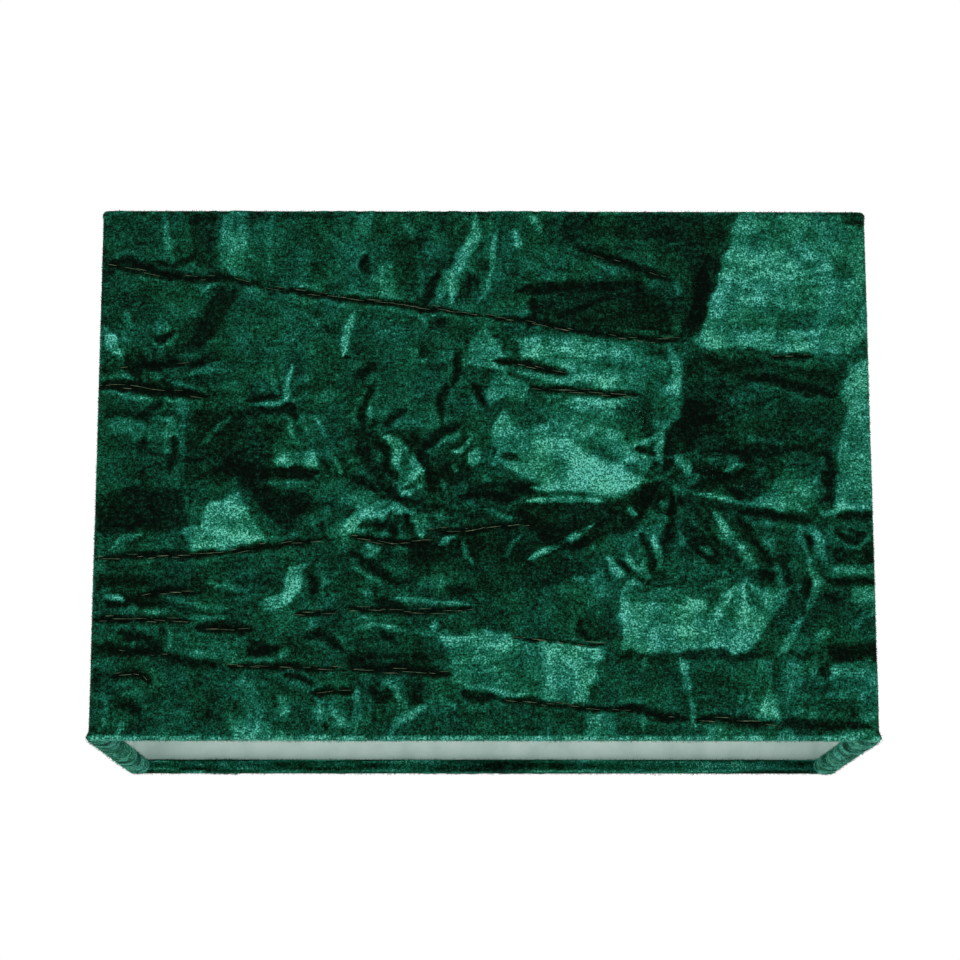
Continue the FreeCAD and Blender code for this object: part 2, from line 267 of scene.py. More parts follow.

# %% [markdown]
# ### Where the pile lies
#
# Crushed velvet is one colour of yarn. It looks pale where the pile lies so that the eye sees the
# fibres' sides, and nearly black where it sees down between their ends. That sheen and shade is
# painted into the cloth's colour: the crush is a map of painted sheen and shade, 0 the darkest and
# 10 the palest. It is laid out on the front panel in millimetres from the panel's lower middle:
# `FIELDS` are patches of cloth between folds, `RIDGES` are narrow folds that catch the light, with a
# painted highlight, and `CREASES` are sharp folds with painted shade, some with the knitted backing
# showing as pale threads. The other panels get the same kinds of marks from a seeded random draw.

# %% Fields of the front panel
FIELDS = [
    # (painted sheen and shade, softness in mm, corners across and up in mm)
    (4.6, 3.0, [(-93, 208), (-52, 208), (-52, 150), (-100, 150), (-96, 174)]),
    (2.9, 2.0, [(-150, 190), (-118, 184), (-112, 178), (-130, 181), (-150, 184)]),
    (2.0, 1.2, [(-116, 208), (-105, 208), (-106, 184), (-113, 186)]),
    (6.5, 0.7, [(-103, 208), (-93, 208), (-93, 190), (-96, 181), (-100, 181), (-104, 189)]),
    (1.8, 1.5, [(-95, 177), (-104, 177), (-109, 168), (-117, 151), (-111, 150), (-103, 162)]),
    (2.3, 1.2, [(-92, 208), (-55, 208), (-55, 205), (-74, 205), (-92, 203)]),
    (8.8, 0.5, [(-149, 162), (-146, 160), (-140, 149), (-142, 148), (-148, 153)]),
    (1.6, 1.6, [(-140, 149), (-118, 149), (-116, 146), (-128, 142), (-137, 141)]),
    (1.2, 0.8, [(-149, 139), (-122, 141), (-105, 133), (-118, 132), (-149, 136)]),
    (6.3, 0.8, [(-147, 121), (-143, 124), (-120, 124), (-119, 117), (-126, 115), (-144, 117)]),
    (2.2, 1.8, [(-147, 128), (-129, 128), (-129, 123), (-147, 124)]),
    (1.7, 2.5, [(-148, 95), (-118, 98), (-114, 84), (-120, 80), (-148, 79)]),
    (2.3, 2.5, [(-115, 128), (-82, 131), (-80, 118), (-84, 99), (-116, 99)]),
    (5.4, 0.8, [(-75, 128), (-70, 124), (-65, 117), (-64, 105), (-80, 105), (-83, 109), (-79, 117)]),
    (7.2, 0.8, [(-80, 110), (-65, 110), (-64, 105), (-80, 105)]),
    (1.0, 0.9, [(-86, 104), (-70, 105), (-62, 103), (-68, 100), (-84, 100)]),
    (1.5, 1.6, [(-89, 96), (-72, 97), (-66, 92), (-74, 80), (-84, 86)]),
    (8.2, 0.7, [(-105, 92), (-94, 95), (-89, 87), (-84, 78), (-90, 75), (-102, 72), (-110, 73),
                (-117, 80), (-109, 83)]),
    (6.0, 0.9, [(-68, 86), (-62, 89), (-57, 88), (-60, 84), (-66, 81)]),
    (6.4, 2.0, [(-50, 207), (-43, 207), (-44, 196), (-50, 196)]),
    (6.4, 2.2, [(-42, 186), (-35, 186), (-35, 173), (-42, 174)]),
    (2.4, 1.8, [(32, 208), (98, 208), (95, 190), (88, 166), (80, 161), (58, 170), (58, 188),
                (40, 191), (31, 197)]),
    (4.3, 2.0, [(36, 199), (62, 196), (80, 190), (80, 172), (62, 176), (40, 190)]),
    (1.2, 1.2, [(84, 182), (89, 190), (88, 168), (82, 157), (74, 157), (81, 168)]),
    (2.0, 1.5, [(12, 175), (22, 180), (60, 180), (70, 170), (76, 158), (52, 159), (22, 164), (20, 170)]),
    (6.0, 1.6, [(12, 150), (30, 150), (70, 149), (70, 134), (60, 130), (30, 129), (20, 138)]),
    (7.6, 1.0, [(12, 157), (26, 157), (50, 154.5), (57, 153), (57, 149), (50, 149), (30, 149),
                (14, 149)]),
    (7.0, 1.2, [(-5, 158), (0, 161), (6, 156), (10, 146), (-5, 145)]),
    (7.6, 0.8, [(99, 208), (150, 208), (150, 150), (128, 151), (100, 152), (85, 154), (81, 158),
                (87, 167), (91, 177), (93, 188), (98, 196)]),
    (5.6, 2.0, [(140, 204), (150, 204), (150, 152), (144, 153), (141, 172)]),
    (4.4, 1.5, [(93, 173), (99, 173), (99, 165), (94, 165)]),
    (4.4, 1.2, [(102, 208), (112, 207), (122, 200), (118, 198), (108, 204)]),
    (4.4, 1.6, [(132, 207), (150, 207), (150, 196), (138, 196)]),
    (3.8, 1.6, [(103, 196), (110, 202), (121, 197), (119, 191), (113, 193), (107, 190)]),
    (4.2, 2.2, [(100, 169), (128, 172), (146, 172), (146, 164), (136, 160), (104, 160)]),
    (3.2, 1.6, [(116, 168), (130, 168), (130, 161), (116, 161)]),
    (3.2, 1.6, [(135, 191), (141, 190), (146, 182), (139, 180)]),
    (1.8, 1.2, [(139, 208), (150, 207), (149, 201), (143, 203)]),
    (2.2, 1.6, [(78, 150), (93, 149), (118, 146), (139, 142), (138, 132), (118, 138), (100, 143),
                (79, 141)]),
    (7.6, 0.8, [(141, 148), (150, 150), (150, 88), (136, 88), (137, 100), (138, 120), (140, 135)]),
    (3.0, 1.0, [(142, 150), (149, 158), (149, 150), (144, 147)]),
    (7.8, 0.9, [(71, 152), (77, 150), (77, 140), (74, 133), (70, 134), (72, 143)]),
    (2.9, 2.2, [(79, 140), (100, 141), (136, 132), (135, 108), (90, 110), (77, 112), (75, 128)]),
    (2.0, 2.0, [(78, 132), (90, 130), (90, 122), (104, 110), (78, 112)]),
    (4.4, 2.5, [(95, 140), (112, 138), (112, 122), (96, 124)]),
    (1.6, 1.2, [(131, 110), (136, 112), (135, 92), (131, 93)]),
    (7.4, 1.0, [(2, 118), (7, 127), (14, 121), (25, 123), (46, 122), (60, 117), (66, 110), (60, 95),
                (50, 93), (30, 97), (8, 104)]),
    (6.2, 1.6, [(20, 130), (36, 126), (60, 129), (68, 122), (60, 117), (46, 121), (26, 122)]),
    (7.6, 1.4, [(27, 130), (36, 133), (52, 133), (50, 127), (36, 127)]),
    (7.9, 1.2, [(18, 116), (34, 117), (45, 108), (58, 110), (58, 96), (44, 99), (34, 108), (20, 111)]),
    (4.4, 1.4, [(18, 106), (31, 107), (32, 100), (22, 101)]),
    (5.8, 1.4, [(32, 103), (45, 103), (46, 98), (34, 98)]),
    (4.8, 1.2, [(54, 107), (60, 107), (61, 100), (55, 100)]),
    (7.2, 1.4, [(30, 146), (52, 146), (52, 139), (30, 139)]),
    (7.2, 1.6, [(52, 133), (60, 133), (60, 127), (52, 127)]),
    (1.6, 0.8, [(6, 111), (11, 112), (14, 109), (11, 107), (7, 108)]),
    (7.0, 1.6, [(2, 141), (10, 141), (18, 138), (17, 132), (2, 132)]),
    (1.3, 1.6, [(-6, 99), (14, 100), (22, 98), (18, 94), (4, 92), (-8, 94)]),
    (1.8, 3.0, [(-20, 92), (50, 91), (60, 98), (72, 94), (62, 84), (40, 74), (12, 68), (-24, 68),
                (-40, 76), (-30, 88)]),
    (3.8, 1.6, [(20, 90), (38, 89), (38, 84), (22, 84)]),
    (3.1, 2.0, [(-10, 70), (45, 72), (50, 62), (0, 56)]),
    (3.2, 1.6, [(-36, 80), (-27, 78), (-24, 60), (-34, 58)]),
    (3.0, 1.6, [(-64, 108), (-54, 108), (-52, 98), (-62, 98)]),
    (2.2, 1.6, [(-20, 97), (-8, 98), (-8, 91), (-20, 90)]),
    (3.0, 1.4, [(-60, 78), (-53, 78), (-52, 70), (-60, 70)]),
    (3.4, 1.6, [(-122, 37), (-100, 36), (-100, 31), (-122, 32)]),
    (3.4, 1.6, [(-26, 22), (-16, 22), (-16, 14), (-26, 14)]),
    (6.4, 1.4, [(-27, 90), (-12, 91), (-8, 84), (-22, 80)]),
    (6.8, 1.0, [(-56, 79), (-50, 87), (-40, 89), (-28, 90), (-27, 86), (-40, 84), (-48, 81), (-54, 76)]),
    (3.4, 1.8, [(-18, 205), (2, 206), (0, 196), (-14, 194)]),
    (2.0, 2.0, [(-52, 118), (-38, 119), (-33, 122), (-22, 112), (-8, 120), (-2, 104), (-20, 94),
                (-30, 90), (-46, 106)]),
    (8.8, 0.5, [(-39, 119), (-34, 117), (-28, 111), (-24, 104), (-22, 98), (-27, 95), (-30, 92),
                (-33, 97), (-37, 105)]),
    (4.4, 0.6, [(-30, 107), (-27, 104), (-24.5, 98), (-30, 95), (-32, 100)]),
    (8.0, 0.8, [(-7, 111), (-2, 113), (0, 108), (-4, 105), (-8, 107)]),
    (7.6, 0.5, [(-1, 99), (1, 103), (4, 99)]),
    (6.3, 1.0, [(102, 93), (112, 98), (120, 101), (130, 101), (132, 96), (127, 92), (124, 86),
                (117, 88), (110, 90), (100, 90)]),
    (6.2, 1.6, [(68, 98), (82, 100), (84, 95), (70, 94)]),
    (1.3, 1.6, [(61, 98), (68, 100), (80, 92), (70, 86), (60, 90)]),
    (7.8, 0.7, [(60, 78), (65, 79), (69, 73), (68, 66), (63, 59), (55, 57), (57, 64), (63, 71)]),
    (1.6, 1.4, [(74, 88), (84, 80), (92, 71), (84, 70), (76, 78)]),
    (2.6, 1.6, [(74, 75), (80, 74), (79, 63), (74, 64)]),
    (7.0, 1.0, [(120, 81), (126, 84), (131, 78), (133, 68), (129, 70), (125, 79), (122, 76)]),
    (1.6, 1.4, [(134, 72), (150, 74), (150, 68), (136, 68)]),
    (6.8, 1.2, [(132, 68), (150, 67), (150, 63), (134, 63)]),
    (6.8, 1.4, [(140, 60), (150, 59), (150, 50), (141, 52)]),
    (1.4, 1.4, [(129, 57), (136, 56), (136, 51), (129, 52)]),
    (8.0, 0.7, [(52, 33.5), (52, 57), (56, 64), (62, 59), (76, 56), (88, 52), (92, 58), (100, 62),
                (105, 57), (117, 59), (115, 50), (105, 41), (101, 33.5)]),
    (3.8, 1.4, [(54, 57), (62, 59), (78, 55), (78, 51), (56, 52)]),
    (3.2, 1.2, [(83, 58), (90, 57), (87, 51), (84, 53)]),
    (1.6, 1.4, [(104, 69), (117, 72), (117, 60), (106, 60)]),
    (2.6, 1.2, [(49, 33), (60, 33), (104, 33), (104, 30.5), (62, 29.5), (50, 28)]),
    (1.2, 1.6, [(130, 36), (150, 37), (150, 31), (132, 31)]),
    (1.8, 1.4, [(115, 35), (124, 34), (123, 31), (116, 31)]),
    (7.4, 1.0, [(104, 31), (110, 30), (109, 20), (112, 17), (113, 8), (109, 4), (104, 10), (107, 18)]),
    (5.6, 3.0, [(112, 30), (126, 30), (124, 16), (114, 14)]),
    (5.4, 1.6, [(117, 12), (127, 12), (127, 5), (117, 5)]),
    (6.8, 1.6, [(130, 26), (138, 30), (150, 30), (150, 20), (142, 22), (134, 24)]),
    (5.8, 2.0, [(138, 19), (150, 19), (150, 3), (142, 4)]),
    (6.6, 1.2, [(38, 10), (50, 9), (50, 2), (40, 2)]),
    (6.3, 1.0, [(-18, 40), (0, 41), (12, 39), (25, 37), (40, 38), (46, 35), (42, 22), (38, 15),
                (30, 13), (20, 16), (0, 19), (-12, 22), (-14, 33)]),
    (8.2, 1.4, [(-16, 40), (10, 40), (10, 34), (2, 35), (-14, 35)]),
    (7.0, 1.4, [(21, 35), (46, 37), (41, 22), (37, 14), (30, 13), (22, 16), (24, 24)]),
    (4.8, 1.6, [(20, 28), (31, 30), (34, 18), (30, 13), (22, 16)]),
    (4.6, 2.0, [(-8, 30), (0, 30), (3, 24), (20, 23), (20, 17), (4, 18), (-8, 22)]),
    (1.2, 1.8, [(-52, 33), (-22, 32), (-16, 26), (-36, 25), (-52, 26)]),
    (1.5, 1.4, [(-44, 20), (-36, 20), (-34, 14), (-43, 14)]),
    (1.5, 1.6, [(-31, 22), (-24, 22), (-22, 12), (-28, 12)]),
    (5.8, 3.0, [(-99, 23), (-82, 24), (-78, 10), (-82, 0), (-96, 0), (-97, 10)]),
    (7.2, 1.6, [(-96, 5), (-84, 5), (-83, 0), (-96, 0)]),
    (7.6, 1.2, [(-79, 17), (-74, 16), (-73, 9), (-77, 8)]),
    (5.6, 2.0, [(-65, 16), (-52, 15), (-50, 3), (-60, 4), (-66, 10)]),
    (1.2, 1.6, [(-146, 57), (-125, 57), (-122, 51), (-144, 50)]),
    (1.9, 2.0, [(-148, 63), (-106, 62), (-106, 58), (-148, 59)]),
    (9.0, 1.1, [(-87, 53), (-84, 49), (-77, 50), (-71, 57), (-68, 66), (-75, 66), (-79, 57)]),
    (1.1, 1.4, [(-91, 39), (-79, 37), (-80, 32), (-90, 32)]),
    (5.2, 1.4, [(-122, 43), (-108, 41), (-98, 38), (-100, 36), (-114, 38), (-122, 40)]),
    (5.4, 1.6, [(-26, 60), (-18, 66), (-13, 62), (-18, 57)]),
    (1.4, 1.6, [(-16, 59), (-5, 59), (-4, 53), (-14, 55)]),
    (6.2, 1.6, [(41, 63), (46, 66), (47, 55), (41, 54)]),
    (2.8, 1.6, [(34, 45), (38, 46), (48, 40), (48, 36), (36, 37)]),
]
print(len(FIELDS), "fields on the front panel")

# %% Ridges and creases of the front panel
RIDGES = [
    # (painted highlight, width in mm, points across and up in mm)
    (6.3, 2.0, [(-83, 207), (-84, 194), (-83, 182)]),
    (6.8, 2.2, [(-126, 207), (-124, 196), (-122, 186)]),
    (6.6, 1.2, [(-96, 175), (-90, 175), (-84, 173)]),
    (6.4, 1.5, [(-112, 178), (-110, 175), (-107, 178), (-104, 177)]),
    (6.4, 1.8, [(-140, 168), (-139, 163), (-137, 160)]),
    (6.0, 1.6, [(-129, 161), (-124, 162), (-121, 156), (-124, 153)]),
    (8.6, 2.4, [(-55, 149), (-53.5, 157), (-50.5, 167)]),
    (8.6, 1.5, [(-88, 129.5), (-82, 130), (-77.5, 130.5)]),
    (8.8, 1.6, [(-77.5, 130), (-76.5, 137), (-75, 146)]),
    (6.6, 1.6, [(-33, 206), (-29, 200), (-27, 196)]),
    (6.0, 1.5, [(-26, 190), (-25, 181), (-25, 172)]),
    (8.3, 3.6, [(-13, 171), (-12, 181), (-8, 190), (-3, 199), (-3, 206)]),
    (6.6, 4.0, [(-17, 173), (-16, 180), (-13, 184)]),
    (7.6, 1.6, [(-3, 170), (1, 177), (3, 186), (5, 200)]),
    (7.8, 2.2, [(11, 201), (13, 196), (15, 192)]),
    (8.2, 2.4, [(17, 208), (20, 204), (22, 200)]),
    (6.8, 1.6, [(-26, 166), (-23, 164), (-22, 160)]),
    (8.2, 2.0, [(-6, 146), (12, 144), (28, 141), (52, 140.5)]),
    (5.6, 1.2, [(46, 191), (56, 188), (66, 186)]),
    (5.4, 1.2, [(55, 186), (66, 183), (74, 181)]),
    (6.4, 1.6, [(75, 179), (77, 176), (76, 174)]),
    (4.6, 1.8, [(104, 207), (113, 205), (122, 198)]),
    (8.2, 1.6, [(114, 207), (119, 203), (124, 198)]),
    (7.8, 1.3, [(-145, 135), (-138, 133), (-128, 132)]),
    (5.8, 1.3, [(-128, 132), (-118, 131), (-112, 130)]),
    (5.6, 1.3, [(-122, 139.5), (-114, 137), (-106, 133)]),
    (5.4, 1.6, [(-110, 113), (-104, 119), (-98, 125)]),
    (7.4, 1.3, [(-66, 125), (-63, 121), (-61, 117)]),
    (6.2, 1.6, [(-60, 110), (-57, 107), (-54, 102)]),
    (6.8, 0.9, [(-85, 98), (-74, 99.5), (-64, 98.5)]),
    (5.6, 1.4, [(-65, 98.5), (-57, 95), (-49, 92)]),
    (7.4, 1.5, [(-144, 73), (-140, 76.5), (-131, 78.5)]),
    (6.6, 1.4, [(-122, 76), (-119, 72)]),
    (6.2, 2.6, [(-59, 77), (-54, 82), (-50, 85)]),
    (8.8, 3.6, [(-52, 84), (-46, 87.5), (-38, 89.5), (-27, 88)]),
    (7.8, 3.2, [(-29, 87), (-25, 84), (-24, 77)]),
    (7.6, 2.2, [(-45, 74), (-40, 73)]),
    (7.4, 1.8, [(-46, 119), (-44.5, 125), (-44, 132)]),
    (5.6, 2.6, [(-36, 121), (-26, 123), (-17, 122)]),
    (6.8, 2.0, [(-19, 112), (-16, 116), (-10, 118)]),
    (7.4, 1.5, [(-13, 111), (-9, 112), (-5, 117)]),
    (7.0, 1.2, [(-13, 106), (-11, 103)]),
    (6.6, 1.0, [(-17, 100), (-15, 95)]),
    (7.4, 1.4, [(4, 105), (5, 109), (8, 114)]),
    (9.2, 2.3, [(18, 97), (34, 98), (54, 95)]),
    (9.4, 1.9, [(16, 91.5), (30, 92.5), (46, 92)]),
    (6.4, 1.8, [(0, 88.5), (6, 87), (11, 85)]),
    (6.6, 1.8, [(-19, 87), (-15, 85), (-11, 86)]),
    (6.8, 1.8, [(-17, 75), (-14, 78), (-10, 78.5)]),
    (7.2, 1.6, [(-8, 76), (-6, 70), (-4, 67)]),
    (9.0, 1.8, [(17, 69), (24, 73), (33, 77), (42, 82.5)]),
    (5.2, 1.6, [(8, 70), (11, 75), (14, 79)]),
    (7.6, 1.6, [(52, 116), (58, 114.5), (64, 115.5), (68, 119)]),
    (7.6, 2.2, [(69, 119), (67.5, 113), (66, 108)]),
    (6.6, 3.0, [(102, 117.5), (105, 116)]),
    (5.8, 1.4, [(115, 116), (115.5, 111)]),
    (5.6, 1.6, [(120, 121), (124, 117)]),
    (8.0, 2.6, [(74, 110), (77, 107), (79, 102)]),
    (7.6, 1.6, [(92, 104), (96, 105), (101, 106.5)]),
    (6.4, 1.6, [(131, 109), (132, 104)]),
    (8.2, 1.1, [(80, 95), (90, 93), (100, 91), (110, 89.5), (118, 87)]),
    (7.6, 1.4, [(127, 91), (130, 87), (136, 87.5), (142, 88.5)]),
    (7.0, 1.8, [(55, 89.5), (58, 85.5)]),
    (6.6, 2.2, [(68, 92), (70, 89)]),
    (9.2, 3.0, [(88, 88), (93, 81), (98, 74), (104, 65)]),
    (6.2, 2.0, [(80, 88), (86, 80), (91, 73)]),
    (7.0, 2.2, [(83, 74), (88, 71)]),
    (5.8, 1.4, [(106, 88), (110, 82)]),
    (5.6, 1.6, [(111, 68), (114, 61)]),
    (7.2, 1.6, [(120.5, 79), (123, 73), (126, 68)]),
    (6.4, 1.4, [(140, 74), (144, 75), (148, 78)]),
    (7.8, 1.8, [(-148, 66.5), (-145.5, 65.5)]),
    (8.6, 2.0, [(-146, 55), (-142, 54.5), (-137, 53.5)]),
    (7.4, 2.2, [(-136, 51), (-132.5, 50)]),
    (6.6, 1.4, [(-107, 60), (-100, 59), (-90, 57)]),
    (6.2, 2.0, [(-118, 53), (-108, 51), (-96, 50)]),
    (7.0, 1.4, [(-113, 46), (-105, 47), (-98, 46.5)]),
    (7.0, 1.4, [(-121, 45), (-119, 36), (-121, 33)]),
    (7.0, 1.6, [(-113, 33), (-105, 32)]),
    (6.8, 2.2, [(-78, 31), (-75, 34)]),
    (6.4, 1.4, [(-70, 47), (-66, 44), (-66, 38)]),
    (6.2, 1.6, [(-146, 18), (-143, 12), (-145, 3)]),
    (7.2, 1.6, [(-139, 1), (-137, 4), (-137, 8)]),
    (6.0, 1.0, [(-122, 9.5), (-116, 10), (-110, 9)]),
    (6.8, 1.6, [(-92, 24), (-91, 20)]),
    (7.2, 1.4, [(-78, 4), (-76, 1)]),
    (8.0, 2.0, [(-58, 13), (-55, 8), (-51, 4)]),
    (6.8, 1.8, [(-47, 56.5), (-43, 56)]),
    (7.8, 1.5, [(-34, 55), (-26, 53.5), (-16, 52.5), (-6, 50.5)]),
    (8.0, 1.5, [(-50, 41), (-43, 43.5), (-30, 42.5)]),
    (6.6, 1.6, [(-48, 46), (-41, 46.5)]),
    (8.0, 2.2, [(-20, 42), (-18, 45)]),
    (6.4, 1.0, [(-30, 41), (-20, 40.5), (-10, 41.5)]),
    (7.8, 1.3, [(-13, 23), (-6, 20), (4, 18.5), (16, 17)]),
    (7.6, 1.8, [(-38, 22), (-34, 20), (-32, 13)]),
    (6.8, 2.2, [(-49, 20), (-48, 12), (-49, 3)]),
    (7.8, 2.4, [(-21, 13), (-27, 9.5), (-33, 8), (-35, 2)]),
    (6.6, 1.4, [(-17, 17.5), (-11, 12)]),
    (6.0, 1.4, [(-50, 66), (-44, 63), (-38, 60)]),
    (6.6, 2.0, [(33, 61), (39, 61)]),
    (9.0, 2.4, [(47, 71), (50, 66), (53, 62)]),
    (7.8, 2.0, [(53, 72), (56, 67), (60, 63)]),
    (7.0, 1.4, [(112, 62), (115, 58)]),
    (7.0, 1.6, [(118, 61), (121, 58)]),
    (7.8, 2.2, [(124, 69), (128, 61), (125, 54), (124, 49)]),
    (6.8, 1.8, [(141, 42), (145, 47), (150, 50)]),
    (8.4, 2.4, [(113, 33), (117, 39), (121, 45.5)]),
    (6.6, 2.4, [(126, 38), (129, 41), (133, 40)]),
    (8.4, 2.4, [(74.5, 31), (76.5, 25), (78, 19)]),
    (6.6, 1.4, [(78, 19), (79, 12), (80, 4)]),
    (6.2, 1.4, [(60, 28), (62, 32)]),
    (5.8, 2.0, [(61, 14), (60, 4)]),
    (6.4, 1.3, [(98, 17), (96, 10)]),
    (6.6, 2.2, [(123, 26), (127, 27)]),
    (6.2, 1.6, [(130, 17), (140, 18)]),
    (7.0, 2.6, [(84, 2), (90, 3)]),
    (6.8, 2.6, [(112, 3), (118, 2)]),
    (6.8, 2.0, [(136, 3), (148, 2)]),
    # the last two ridges are painted highlights on the front corners, where the cloth turns towards the side
    # lights
    (7.2, 2.2, [(-151, 4), (-151, 100), (-151, 204)]),
    (7.4, 2.2, [(151, 4), (151, 100), (151, 204)]),
]
CREASES = [
    # (width in mm, how much of it shows threads, points across and up in mm)
    (1.9, 0.6, [(-148, 186), (-135, 184), (-122, 181.5), (-110, 180.5), (-97, 180.5), (-85, 177)]),
    (1.7, 0.9, [(-85, 177), (-70, 174.5), (-50, 172), (-35, 170), (-20, 168.5), (0, 165.5)]),
    (1.7, 0.8, [(0, 165.5), (15, 164), (35, 160), (50, 158), (65, 156), (80, 155.5)]),
    (1.6, 0.0, [(-112, 192), (-116, 188), (-121, 186), (-131, 187)]),
    (1.8, 0.0, [(-148, 186), (-140, 188), (-128, 184)]),
    (1.8, 0.0, [(-120, 159), (-124, 156), (-128, 156)]),
    (1.8, 0.4, [(-142, 144), (-134, 145), (-122, 146), (-103, 147.5)]),
    (2.4, 0.0, [(-139, 148), (-136, 143), (-133, 140)]),
    (2.2, 0.7, [(-149, 138), (-138, 137.5), (-122, 135), (-106, 133)]),
    (2.4, 0.0, [(-92, 131), (-86, 133), (-80, 133)]),
    (2.4, 0.0, [(-88, 128), (-80, 127.5), (-76, 129), (-72, 124)]),
    (2.0, 0.0, [(-121, 117), (-120, 110), (-121, 103)]),
    (2.4, 0.0, [(-50, 140), (-46, 143), (-42, 147)]),
    (2.0, 0.0, [(-47, 119), (-47, 128), (-43, 138)]),
    (2.6, 0.0, [(-23, 170), (-21, 176), (-18, 183)]),
    (3.0, 0.0, [(-7, 179), (-2, 179)]),
    (2.0, 0.0, [(-45, 191), (-47, 186), (-44, 182)]),
    (2.2, 0.0, [(-20, 163), (-15, 163)]),
    (2.2, 0.0, [(-26, 151), (-21, 151)]),
    (2.0, 0.0, [(-11, 150), (-10, 144), (-12, 138)]),
    (2.0, 0.0, [(-14, 139), (-17, 131), (-16, 124)]),
    (2.2, 0.0, [(-4, 139), (-1, 133), (1, 130)]),
    (2.2, 0.0, [(12, 175), (24, 177), (38, 178), (54, 176)]),
    (2.4, 0.0, [(19, 173), (20, 166), (17, 160)]),
    (2.4, 0.3, [(35, 194), (44, 191), (60, 185), (74, 180)]),
    (2.6, 0.3, [(4, 147.5), (10, 146.5), (18, 145.5), (26, 143.5), (34, 142)]),
    (2.0, 0.9, [(18, 136.5), (30, 136), (42, 135), (61, 133.5)]),
    (1.4, 0.0, [(58, 113), (62, 112), (66, 110)]),
    (1.8, 0.4, [(112, 149.5), (120, 149.5), (129, 150.5)]),
    (2.6, 0.0, [(86, 150), (92, 148)]),
    (2.2, 0.0, [(98, 141), (112, 140), (128, 136), (137, 134)]),
    (2.4, 0.0, [(-39, 122), (-35, 125), (-30, 128)]),
    (2.8, 0.0, [(-25, 112), (-21, 114), (-17, 119), (-9, 122)]),
    (2.2, 0.0, [(-43, 116), (-38, 112), (-38, 106), (-33, 100)]),
    (2.6, 0.0, [(-26, 112), (-22, 104), (-20, 95)]),
    (2.2, 0.0, [(-42, 100), (-34, 93), (-28, 88)]),
    (2.2, 0.0, [(-48, 82), (-41, 83.5), (-36, 82), (-33, 78)]),
    (1.8, 0.9, [(-149, 70), (-132, 70), (-112, 71), (-98, 71.5)]),
    (1.8, 0.6, [(-98, 71.5), (-88, 74), (-76, 75), (-62, 76)]),
    (1.8, 0.9, [(-52, 77.5), (-44, 77), (-34, 75), (-20, 75.5)]),
    (1.8, 0.8, [(-22, 80), (-8, 80), (4, 82), (18, 82.5)]),
    (2.4, 0.0, [(-10, 94), (0, 94), (12, 93)]),
    (2.6, 0.0, [(12, 88), (20, 82), (34, 80)]),
    (3.0, 0.0, [(20, 79), (34, 74), (42, 77)]),
    (2.8, 0.0, [(70, 105), (73, 108)]),
    (3.0, 0.0, [(80, 97), (90, 100), (98, 103), (104, 104.5)]),
    (2.6, 0.0, [(92, 98), (96, 95), (100, 93)]),
    (2.6, 0.0, [(98, 88), (110, 87), (118, 84.5), (126, 84.5)]),
    (2.2, 0.0, [(136, 85.5), (142, 86.5), (149, 86)]),
    (1.6, 0.0, [(80, 90), (84, 83), (92, 72)]),
    (2.2, 0.0, [(98, 86), (104, 77), (110, 67)]),
    (2.4, 0.0, [(60, 80), (63, 72), (66, 62)]),
    (2.0, 0.0, [(123, 79), (126, 75)]),
    (2.0, 0.0, [(136, 79), (142, 76), (147, 80)]),
    (1.4, 0.0, [(50, 69), (58, 63), (66, 58)]),
    (2.2, 0.0, [(123.5, 63), (123, 54)]),
    (2.4, 0.0, [(131, 61), (140, 60.5), (149, 60.5)]),
    (2.2, 0.0, [(-52, 72), (-42, 66), (-32, 60)]),
    (2.6, 0.0, [(-67, 64), (-65, 60), (-66, 55)]),
    (2.0, 0.8, [(-131, 55), (-122, 57), (-108, 56.5)]),
    (2.0, 0.9, [(-149, 45.5), (-138, 46), (-124, 45.5), (-112, 45)]),
    (2.2, 0.7, [(-110, 43), (-102, 43), (-94, 42), (-88, 42.5)]),
    (3.0, 0.0, [(-140, 41), (-128, 38), (-122, 34)]),
    (2.6, 0.6, [(-148, 35.5), (-134, 33.5), (-120, 32)]),
    (3.0, 0.0, [(-120, 32), (-112, 29.5), (-101, 28)]),
    (1.9, 0.9, [(-98, 28), (-80, 27.5), (-66, 27), (-54, 26)]),
    (2.2, 0.7, [(-142, 24), (-134, 25), (-129, 24), (-127, 21)]),
    (2.6, 0.0, [(-138, 14), (-134, 14), (-131, 10)]),
    (2.4, 0.0, [(-105, 9), (-102, 9)]),
    (1.6, 0.0, [(-76, 24), (-69, 23.5), (-65, 20.5)]),
    (1.9, 0.7, [(-66, 17.5), (-58, 18.5), (-50, 18.5)]),
    (2.4, 0.0, [(-61, 4.5), (-59.5, 4.5)]),
    (2.2, 0.0, [(-69, 39), (-63, 41), (-58, 38), (-54, 34)]),
    (1.6, 0.9, [(-73, 48.5), (-66, 48.2), (-56, 48.5)]),
    (2.0, 0.9, [(-52, 50), (-38, 49.5), (-24, 49), (-4, 49.5)]),
    (2.4, 0.0, [(-42, 53), (-36, 52), (-29, 51)]),
    (2.2, 0.0, [(-40, 40), (-34, 38.5)]),
    (2.2, 0.9, [(-50, 26.5), (-40, 26.5), (-28, 26), (-12, 24.5)]),
    (2.8, 0.0, [(-9, 17.5), (-5, 16.5), (-1, 15.5), (4, 16.5)]),
    (1.6, 0.7, [(4, 15.5), (16, 14.5), (30, 13), (44, 11.5), (56, 11)]),
    (2.2, 0.4, [(50, 12), (60, 11.5), (68, 9), (78, 8.5)]),
    (2.4, 0.4, [(80, 8), (90, 7.5), (104, 7), (112, 6)]),
    (2.6, 0.0, [(112, 6.5), (118, 6), (128, 5), (136, 6), (146, 4.5)]),
    (0.9, 1.0, [(10, 39.2), (20, 38), (34, 36.5), (48, 35.5)]),
    (1.6, 0.0, [(36, 45), (36.5, 41), (42, 38)]),
    (2.4, 0.0, [(129, 28), (130, 24)]),
]
print(len(RIDGES), "ridges and", len(CREASES), "creases on the front panel")
